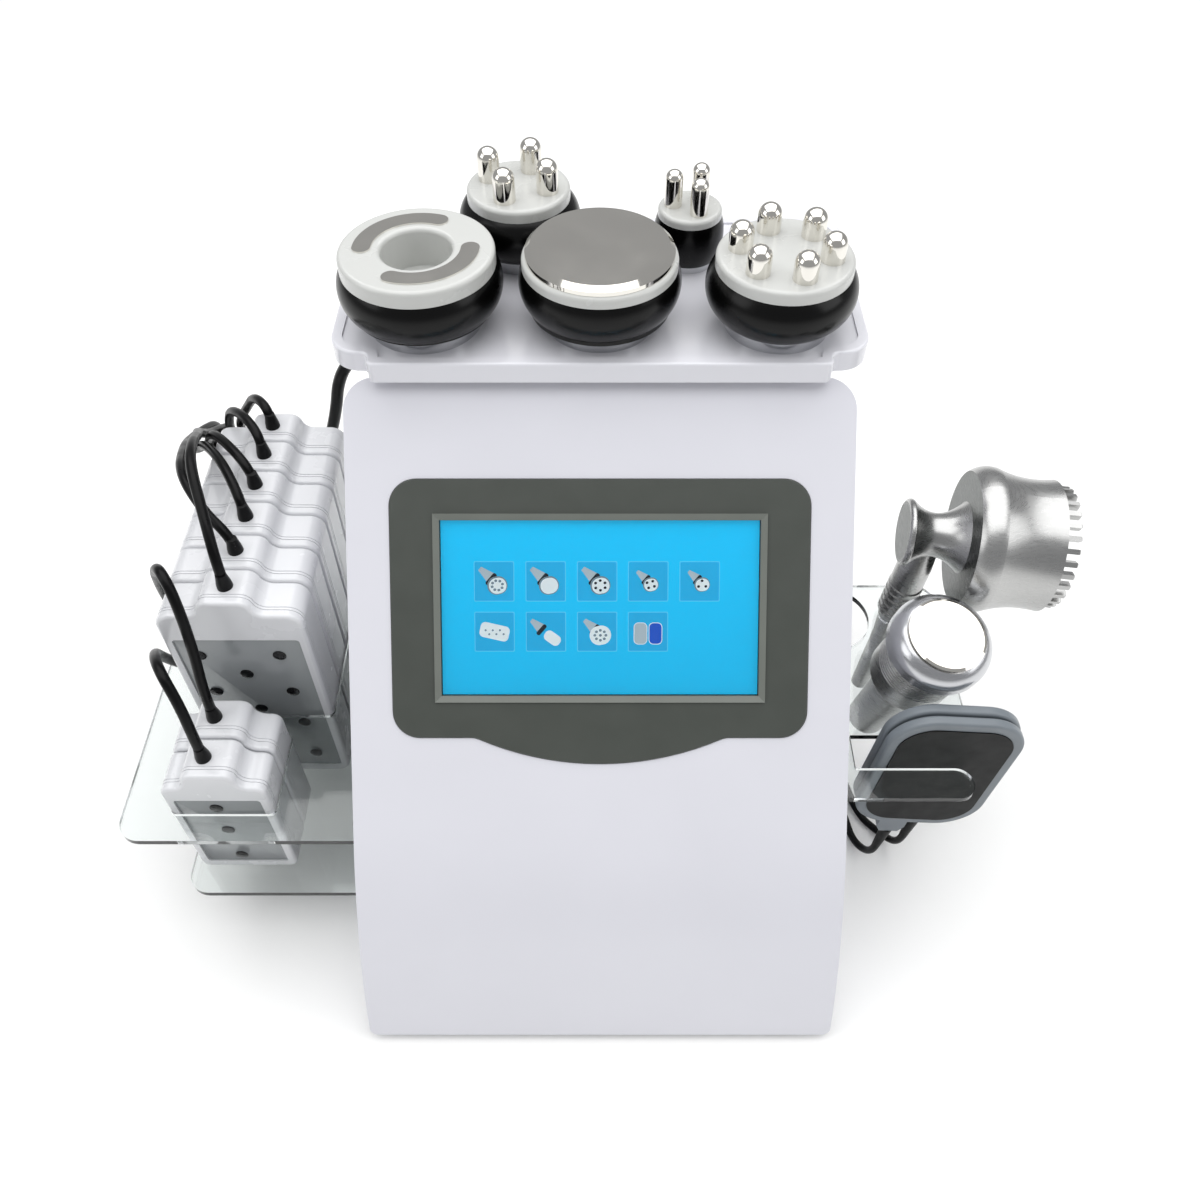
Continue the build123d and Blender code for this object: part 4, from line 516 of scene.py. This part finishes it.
class CONSOLE_OT_stage(bpy.types.Operator):
    """Adds the floor, the soft lights and the camera"""
    bl_idname = "console.stage"
    bl_label = "Stage"

    def execute(self, context):
        start_piece()
        bpy.ops.mesh.primitive_plane_add(size=12)
        floor = context.object
        floor.name = "floor"
        material, tree, shader, place = new_material("white paper")
        shader.inputs["Roughness"].default_value = 0.9
        shader.inputs["Emission Color"].default_value = (1.0, 1.0, 1.0, 1.0)
        shader.inputs["Emission Strength"].default_value = 0.05
        wire(tree, shader, Base_Color=tinted(tree, place, linear("#F6F6F5"), 0.004, 2.0))
        floor.data.materials.append(material)
        world = bpy.data.worlds.new("studio")
        context.scene.world = world
        context.scene.view_settings.view_transform = "Standard"
        world.use_nodes = True
        world.node_tree.nodes["Background"].inputs["Color"].default_value = (0.97, 0.98, 1, 1)
        world.node_tree.nodes["Background"].inputs["Strength"].default_value = 0.38
        for name, place, size, power in (("overhead", (0.0, 0.35, 2.2), 3.4, 72.0),
                                         ("left_bank", (-1.6, -0.5, 1.1), 1.0, 5.0),
                                         ("right_bank", (1.6, -0.4, 1.0), 1.0, 5.0)):
            bpy.ops.object.light_add(type="AREA", location=place)
            light = context.object
            light.name = name
            light.data.size = size
            light.data.energy = power
            aim = Vector((0, 0, 0.2)) - Vector(place)
            light.rotation_euler = aim.to_track_quat("-Z", "Y").to_euler()
        bpy.ops.object.camera_add(location=(0.0, -0.408, 0.675),
                                  rotation=(math.radians(40.165), 0, 0))
        camera = context.object
        camera.name = "photo_view"
        camera.data.lens = 31.98
        camera.data.sensor_width = 36.0
        context.scene.camera = camera
        return {"FINISHED"}


class CONSOLE_OT_screen(bpy.types.Operator):
    """Adds the lit picture with its menu tiles behind the cover glass"""
    bl_idname = "console.screen"
    bl_label = "Screen"

    rows = ((0.1116, (-0.0589, -0.0302, -0.0016, 0.0268, 0.0554)),
            (0.1398, (-0.0589, -0.0302, -0.0016, 0.0268)))
    depth = -0.00317

    def sticker(self, outline, x, s, layer, name, finish, spin=0.0):
        outline.matrix_world = panel_matrix(x, s, self.depth + layer * LAYER_STEP, spin)
        return complete(outline, name, finish, "console")

    def handle(self, x, s, layer, name, size=1.0):
        """A tapered grip from the tile's upper left, with a dark band at its wide end."""
        grip = rounded_plate(0.0062 * size, 0.0088 * size, LAYER_THICK, 0.0012)
        bpy.ops.object.mode_set(mode="EDIT")
        bpy.ops.mesh.select_all(action="DESELECT")
        bpy.ops.mesh.select_mode(type="VERT")
        mesh = bmesh.from_edit_mesh(grip.data)
        for vertex in mesh.verts:
            vertex.select_set(vertex.co.y > 0)
        mesh.select_flush_mode()
        bmesh.update_edit_mesh(grip.data)
        bpy.ops.transform.resize(value=(0.5, 1, 1), center_override=(0, 0, 0))
        bpy.ops.object.mode_set(mode="OBJECT")
        self.sticker(grip, x - 0.0046 * size, s - 0.0044 * size, layer, name, "icon_pale", 0.86)
        band = rounded_plate(0.0080 * size, 0.0026 * size, LAYER_THICK, 0.0011 * size)
        self.sticker(band, x - 0.0016 * size, s - 0.0012 * size, layer + 1, f"{name}_band",
                     "icon_dark", 0.86)

    def disc(self, x, s, layer, radius, name, finish):
        round_face = rounded_plate(2 * radius, 2 * radius * 0.9, LAYER_THICK, radius * 0.88, 8)
        return self.sticker(round_face, x, s, layer, name, finish, 0.2)

    def trim(self):
        """The pale sloped edge round the picture, mitred at its corners."""
        start_piece()
        bpy.ops.mesh.primitive_plane_add(size=1, location=(0, 0, TRIM_RISE))
        edge = bpy.context.object
        edge.scale = (*TRIM_SIZE, 1)
        bpy.ops.object.transform_apply(location=True, rotation=True, scale=True)
        bpy.ops.object.mode_set(mode="EDIT")
        bpy.ops.mesh.select_all(action="SELECT")
        bpy.ops.mesh.inset(thickness=TRIM_BAND)
        bpy.ops.transform.translate(value=(0, 0, -0.001))
        bpy.ops.mesh.delete(type="FACE")
        bpy.ops.mesh.select_all(action="SELECT")
        bpy.ops.mesh.extrude_region_move(TRANSFORM_OT_translate={"value": (0, 0, -0.001)})
        bpy.ops.transform.resize(value=(1, 1, 0), center_override=(0, 0, 0))
        bpy.ops.object.mode_set(mode="OBJECT")
        edge.matrix_world = panel_matrix(0, SCREEN_MID, TRIM_LIFT)
        return complete(edge, "screen_trim", "trim", "console", 20)

    def execute(self, context):
        sizes = context.scene.console_sizes
        ground = rounded_plate(*PICTURE_SIZE, 0.00004, 0)
        self.sticker(ground, 0, SCREEN_MID, 0, "screen_picture", "picture")
        count = 0
        for s, xs in self.rows:
            for x in xs:
                count += 1
                tile = rounded_plate(sizes.tile, sizes.tile, LAYER_THICK, 0.0008)
                self.sticker(tile, x, s, 1, f"tile_{count}_line", "tile_line")
                inner = sizes.tile - 2 * sizes.tile_line
                tile = rounded_plate(inner, inner, LAYER_THICK, 0.0006)
                self.sticker(tile, x, s, 2, f"tile_{count}", "tile")
        self.trim()
        for count, x in enumerate(self.rows[0][1], 1):
            s = self.rows[0][0]
            small = 0.78 if count > 3 else 1.0
            self.handle(x, s, 3, f"icon_{count}_handle", small)
            mid_x, mid_s = x + 0.0018 * small, s + 0.0022 * small
            self.disc(mid_x, mid_s, 5, 0.0056 * small, f"icon_{count}_rim", "icon_grey")
            self.disc(mid_x + 0.0002, mid_s + 0.0002, 6, 0.0049 * small, f"icon_{count}_face",
                      "icon_white")
            pins = {1: 8, 3: 6, 4: 4, 5: 3}.get(count, 0)
            for i in range(pins):
                turn = 2 * math.pi * i / pins + 0.5
                self.disc(mid_x + 0.003 * small * math.cos(turn),
                          mid_s + 0.0027 * small * math.sin(turn), 7, 0.0008,
                          f"icon_{count}_pin_{i + 1}", "icon_grey" if count < 3 else "icon_dark")
        s = self.rows[1][0]
        xs = self.rows[1][1]
        pad = rounded_plate(0.0165, 0.0086, LAYER_THICK, 0.0026)
        self.sticker(pad, xs[0], s, 3, "icon_6_pad", "icon_white", -0.22)
        for i in range(6):
            self.disc(xs[0] - 0.005 + 0.002 * i, s - 0.0008 + 0.0022 * (i % 2), 4, 0.0006,
                      f"icon_6_dot_{i + 1}", "icon_grey")
        self.handle(xs[1] - 0.001, s, 3, "icon_7_handle", 0.9)
        blade = rounded_plate(0.0062, 0.0098, LAYER_THICK, 0.0026)
        self.sticker(blade, xs[1] + 0.0036, s + 0.0036, 5, "icon_7_blade", "icon_white", 0.95)
        self.handle(xs[2], s, 3, "icon_8_handle", 0.9)
        self.disc(xs[2] + 0.0018, s + 0.002, 5, 0.0060, "icon_8_rim", "icon_white")
        for i in range(9):
            turn = 2 * math.pi * i / 8
            reach = 0.0 if i == 8 else 0.0031
            self.disc(xs[2] + 0.0018 + reach * math.cos(turn),
                      s + 0.002 + 0.9 * reach * math.sin(turn), 6, 0.0008, f"icon_8_lamp_{i + 1}",
                      "icon_grey")
        for side, finish in ((-1, "icon_pale"), (1, "icon_blue")):
            name = "icon_9_left" if side < 0 else "icon_9_right"
            block = rounded_plate(0.0076, 0.0124, LAYER_THICK, 0.0026)
            self.sticker(block, xs[3] + side * 0.0042, s + 0.001, 3, f"{name}_edge", "icon_white")
            block = rounded_plate(0.0068, 0.0116, LAYER_THICK, 0.0023)
            self.sticker(block, xs[3] + side * 0.0042, s + 0.001, 4, name, finish)
        return {"FINISHED"}


class CONSOLE_OT_laser_windows(bpy.types.Operator):
    """Adds the smoked window and the diode caps to every laser pad"""
    bl_idname = "console.laser_windows"
    bl_label = "Laser windows"

    large = ((-0.0245, 0.128), (0.022, 0.128), (-0.0245, 0.092), (0.022, 0.092), (-0.0245, 0.057),
             (0.022, 0.057), (-0.0245, 0.021), (0.022, 0.021), (-0.0015, 0.110), (-0.0015, 0.074),
             (-0.0015, 0.038))
    small = ((-0.0025, 0.0726), (-0.0025, 0.045), (-0.0025, 0.0147))

    def execute(self, context):
        radius = context.scene.console_sizes.diode
        for name in LARGE_PADS + SMALL_PADS:
            low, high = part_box(name)
            is_large = name in LARGE_PADS
            width = (high[0] - low[0]) - 0.0104
            tall = 0.1358 if is_large else 0.0746
            mid_x = (low[0] + high[0]) / 2
            foot = low[2] + 0.0071
            pane = rounded_plate(width, tall, 0.0007, 0.002, edge=0.0003)
            placed(pane, (mid_x, low[1] + 0.0016, foot + tall / 2), (math.radians(90), 0, 0))
            complete(pane, f"{name}_window", "window", PAD_BODIES[name])
            caps = []
            cap = turned(((radius, 0), (radius, 0.0004), (radius * 0.9, 0.0006)), 24)
            for x, z in (self.large if is_large else self.small):
                place = (mid_x + x, low[1] + 0.0006, low[2] + z)
                matrix = Matrix.Translation(place) @ Matrix.Rotation(math.radians(90), 4, "X")
                caps.append(own_copy(cap, matrix))
            bpy.data.objects.remove(cap)
            complete(join(caps), f"{name}_diodes", "diode", PAD_BODIES[name])
        return {"FINISHED"}


# Control points of each lead, in metres, as in the route tables of the solids

LEADS = {
    "small_lead_1": ((-0.223, -0.089, 0.1596), (-0.223, -0.089, 0.175), (-0.226, -0.082, 0.2),
        (-0.234, -0.072, 0.221), (-0.25, -0.045, 0.2), (-0.257, -0.03, 0.176),
        (-0.2575, -0.014, 0.146), (-0.2575, 0.01, 0.1231), (-0.256, 0.06, 0.1231),
        (-0.2575, 0.11, 0.1231), (-0.2575, 0.152, 0.1231)),
    "small_lead_2": ((-0.223, -0.062, 0.1596), (-0.223, -0.062, 0.18), (-0.223, -0.052, 0.211),
        (-0.226, -0.042, 0.244), (-0.2345, -0.03, 0.2545), (-0.25, -0.01, 0.228),
        (-0.26, 0.005, 0.196), (-0.265, 0.016, 0.16), (-0.265, 0.034, 0.1231),
        (-0.2635, 0.07, 0.1231), (-0.265, 0.114, 0.1231), (-0.265, 0.152, 0.1231)),
    "large_lead_1": ((-0.2085, -0.0198, 0.227), (-0.2085, -0.0198, 0.243), (-0.215, 0, 0.264),
        (-0.226, 0.028, 0.276), (-0.233, 0.055, 0.268), (-0.246, 0.092, 0.241),
        (-0.257, 0.112, 0.225), (-0.261, 0.134, 0.204), (-0.2612, 0.156, 0.19),
        (-0.2612, 0.172, 0.178), (-0.2612, 0.172, 0.16)),
    "large_lead_2": ((-0.2085, 0.0072, 0.227), (-0.2085, 0.0072, 0.238), (-0.225, 0.02, 0.246),
        (-0.243, 0.045, 0.253), (-0.258, 0.09, 0.231), (-0.268, 0.12, 0.211),
        (-0.2682, 0.146, 0.198), (-0.2682, 0.172, 0.182), (-0.2682, 0.172, 0.16)),
    "large_lead_3": ((-0.2085, 0.0342, 0.227), (-0.2085, 0.0342, 0.237), (-0.214, 0.045, 0.242),
        (-0.226, 0.065, 0.244), (-0.248, 0.098, 0.228), (-0.262, 0.112, 0.21),
        (-0.2682, 0.132, 0.194), (-0.2682, 0.16, 0.176), (-0.2682, 0.16, 0.16)),
    "large_lead_4": ((-0.2085, 0.0612, 0.227), (-0.2085, 0.0612, 0.237), (-0.22, 0.074, 0.243),
        (-0.238, 0.096, 0.237), (-0.248, 0.109, 0.224), (-0.259, 0.123, 0.201),
        (-0.2612, 0.138, 0.184), (-0.2612, 0.16, 0.174), (-0.2612, 0.16, 0.16)),
    "large_lead_5": ((-0.2085, 0.0882, 0.227), (-0.2085, 0.0882, 0.236), (-0.212, 0.095, 0.241),
        (-0.222, 0.108, 0.242), (-0.238, 0.128, 0.23), (-0.248, 0.142, 0.207),
        (-0.2542, 0.156, 0.186), (-0.2542, 0.16, 0.173), (-0.2542, 0.16, 0.16)),
    "large_lead_6": ((-0.2085, 0.1152, 0.227), (-0.2085, 0.1152, 0.236), (-0.213, 0.122, 0.24),
        (-0.224, 0.137, 0.233), (-0.236, 0.152, 0.213), (-0.25, 0.166, 0.19),
        (-0.2542, 0.172, 0.177), (-0.2542, 0.172, 0.16)),
    "trunk": ((-0.249, 0.17, 0.14), (-0.232, 0.17, 0.141), (-0.208, 0.168, 0.15),
        (-0.19, 0.16, 0.175), (-0.177, 0.15, 0.21), (-0.168, 0.143, 0.244),
        (-0.153, 0.138, 0.266), (-0.137, 0.134, 0.252), (-0.13, 0.13, 0.222),
        (-0.127, 0.128, 0.188), (-0.123, 0.126, 0.154), (-0.116, 0.121, 0.122),
        (-0.112, 0.112, 0.098), (-0.112, 0.097, 0.098)),
    "electrode_lead_1": ((0.1839, -0.074, 0.0257), (0.1828, -0.074, 0.0129),
        (0.1749, -0.059, 0.0026), (0.172, -0.038, 0.0026), (0.163, 0.005, 0.0026),
        (0.16, 0.055, 0.0026), (0.156, 0.096, 0.0026), (0.143, 0.124, 0.0086),
        (0.12, 0.132, 0.04), (0.113, 0.128, 0.074), (0.112, 0.114, 0.098),
        (0.112, 0.097, 0.098)),
    "electrode_lead_2": ((0.2038, -0.0659, 0.024), (0.2028, -0.0659, 0.012),
        (0.1948, -0.0531, 0.0026), (0.181, -0.038, 0.0026), (0.172, 0.005, 0.0026),
        (0.169, 0.055, 0.0026), (0.165, 0.096, 0.0026), (0.1475, 0.133, 0.0086),
        (0.092, 0.141, 0.04), (0.085, 0.137, 0.074), (0.084, 0.1185, 0.098),
        (0.084, 0.097, 0.098)),
}


class CONSOLE_OT_leads(bpy.types.Operator):
    """Adds the leads of the laser pads and the electrode pads"""
    bl_idname = "console.leads"
    bl_label = "Leads"

    def lead(self, name, diameter):
        """A round jacket along one smooth spline; returns the mesh and the spline's points."""
        curve = bpy.data.curves.new(name, "CURVE")
        curve.dimensions = "3D"
        curve.resolution_u = 10
        spline = curve.splines.new("NURBS")
        points = LEADS[name]
        spline.points.add(len(points) - 1)
        for point, place in zip(spline.points, points):
            point.co = (*place, 1)
        spline.order_u = 3
        spline.use_endpoint_u = True
        line = bpy.data.objects.new(name, curve)
        bpy.context.scene.collection.objects.link(line)
        bpy.context.view_layer.update()
        bare = bpy.data.meshes.new_from_object(line)
        path = [tuple(v.co) for v in bare.vertices]
        bpy.data.meshes.remove(bare)
        curve.bevel_depth = diameter / 2
        curve.bevel_resolution = 5
        curve.use_fill_caps = True
        pick(line)
        bpy.ops.object.convert(target="MESH")
        tube = bpy.context.object
        outward(tube)
        pick(tube)
        bpy.ops.object.shade_smooth_by_angle(angle=math.radians(50))
        paint(tube, "lead")
        return tube, path

    def declare(self, tube, path, diameter, stiffness="medium"):
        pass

    def execute(self, context):
        sizes = context.scene.console_sizes
        pad_tubes = []
        for kind, count in (("small", 2), ("large", 6)):
            for i in range(1, count + 1):
                name = f"{kind}_lead_{i}"
                tube, path = self.lead(name, sizes.pad_lead)
                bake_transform(tube)
                self.declare(tube, path, sizes.pad_lead)
                pad_tubes.append(tube)
        for tube in pad_tubes:
            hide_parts("pad_leads")
        trunk, path = self.lead("trunk", sizes.trunk)
        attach(trunk, "console")
        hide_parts("pad_lead_trunk")
        self.declare(trunk, path, sizes.trunk)
        for i, body in ((1, "front_electrode"), (2, "rear_electrode")):
            tube, path = self.lead(f"electrode_lead_{i}", sizes.electrode_lead)
            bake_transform(tube)
            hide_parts("sole_leads")
            self.declare(tube, path, sizes.electrode_lead)
        return {"FINISHED"}


class CONSOLE_OT_boots(bpy.types.Operator):
    """Adds the tapered strain reliefs where the leads leave the laser pads"""
    bl_idname = "console.boots"
    bl_label = "Strain reliefs"

    sleeve = ((0.0045, 0), (0.0043, 0.003), (0.0037, 0.006), (0.0032, 0.009), (0.00305, 0.010))

    def execute(self, context):
        for kind, count in (("small", 2), ("large", 6)):
            for i in range(1, count + 1):
                boot = turned(self.sleeve, 28)
                placed(boot, LEADS[f"{kind}_lead_{i}"][0])
                complete(boot, f"{kind}_pad_{i}_boot", "lead", f"{kind}_laser_{i}")
        return {"FINISHED"}


class CONSOLE_OT_screws(bpy.types.Operator):
    """Adds the screws of the clear holders and the rear panel"""
    bl_idname = "console.screws"
    bl_label = "Screws"

    def screw(self, radius):
        """A pan head with a hexagon socket."""
        head = turned(((radius, 0), (radius, radius * 0.5), (radius * 0.8, radius * 0.72)), 32)
        pick(head)
        bpy.ops.object.mode_set(mode="EDIT")
        select_faces(head, lambda centre, normal: normal.z > 0.99 and centre.z > radius * 0.6)
        bpy.ops.mesh.inset(thickness=radius * 0.35)
        bpy.ops.mesh.extrude_region_move(TRANSFORM_OT_translate={"value": (0, 0, -radius * 0.4)})
        bpy.ops.object.mode_set(mode="OBJECT")
        return head

    def execute(self, context):
        radius = context.scene.console_sizes.screw
        quarter = math.radians(90)
        spots = []
        for y in (-0.085, -0.02, 0.04):
            for z in (0.066, 0.104):
                spots.append(((-0.144, y, z), (0, -quarter, 0)))
        for y in (-0.08, -0.02, 0.04):
            spots.append(((0.144, y, 0.112), (0, quarter, 0)))
        for x in (-0.128, 0.128):
            for z in (0.02, 0.115, 0.2, 0.283):
                spots.append(((x, 0.062, z), (-quarter, 0, 0)))
        for x in (-0.1, -0.035, 0.035, 0.1):
            spots.append(((x, 0.064, 0.236), (-quarter, 0, 0)))
        model = self.screw(radius)
        heads = []
        for place, turn in spots:
            matrix = Matrix.Translation(place) @ Matrix.Rotation(turn[1], 4, "Y") @ \
                Matrix.Rotation(turn[0], 4, "X")
            heads.append(own_copy(model, matrix))
        bpy.data.objects.remove(model)
        complete(join(heads), "screws", "chrome", "console")
        return {"FINISHED"}


class CONSOLE_OT_contacts(bpy.types.Operator):
    """Adds the contact pins in the rear sockets"""
    bl_idname = "console.contacts"
    bl_label = "Socket contacts"

    def execute(self, context):
        pins = []
        model = turned(((0.0006, 0), (0.0006, 0.0036), (0.0003, 0.004)), 12)
        for column in range(7):
            x = -0.111 + 0.037 * column
            for i in range(5):
                turn = math.radians(72 * i)
                place = (x + 0.003 * math.cos(turn), 0.0648, 0.132 + 0.003 * math.sin(turn))
                matrix = Matrix.Translation(place) @ Matrix.Rotation(math.radians(-90), 4, "X")
                pins.append(own_copy(model, matrix))
        bpy.data.objects.remove(model)
        complete(join(pins), "socket_pins", "contact", "console")
        return {"FINISHED"}


CLASSES = (ConsoleColours, ConsoleSizes, CONSOLE_OT_finishes, CONSOLE_OT_stage,
           CONSOLE_OT_screen, CONSOLE_OT_laser_windows, CONSOLE_OT_leads, CONSOLE_OT_boots,
           CONSOLE_OT_screws, CONSOLE_OT_contacts)


class CONSOLE_PT_panel(bpy.types.Panel):
    """Lists the console's pieces, sizes and colours"""
    bl_idname = "CONSOLE_PT_panel"
    bl_label = "Body contouring console"
    bl_space_type = "VIEW_3D"
    bl_region_type = "UI"
    bl_category = "Console"

    def draw(self, context):
        for group in (context.scene.console_colours, context.scene.console_sizes):
            for key in group.bl_rna.properties.keys():
                if key not in ("rna_type", "name"):
                    self.layout.prop(group, key)
        for kind in CLASSES:
            if issubclass(kind, bpy.types.Operator):
                self.layout.operator(kind.bl_idname)


def register():
    for kind in CLASSES + (CONSOLE_PT_panel,):
        bpy.utils.register_class(kind)
    bpy.types.Scene.console_colours = PointerProperty(type=ConsoleColours)
    bpy.types.Scene.console_sizes = PointerProperty(type=ConsoleSizes)


def unregister():
    del bpy.types.Scene.console_sizes
    del bpy.types.Scene.console_colours
    for kind in reversed(CLASSES + (CONSOLE_PT_panel,)):
        bpy.utils.unregister_class(kind)


def main():
    register()
    bpy.ops.console.finishes()
    bpy.ops.console.stage()
    bpy.ops.console.leads()
    bpy.ops.console.boots()
    bpy.ops.console.screen()
    bpy.ops.console.laser_windows()
    bpy.ops.console.screws()
    bpy.ops.console.contacts()


if __name__ == "__main__":
    main()
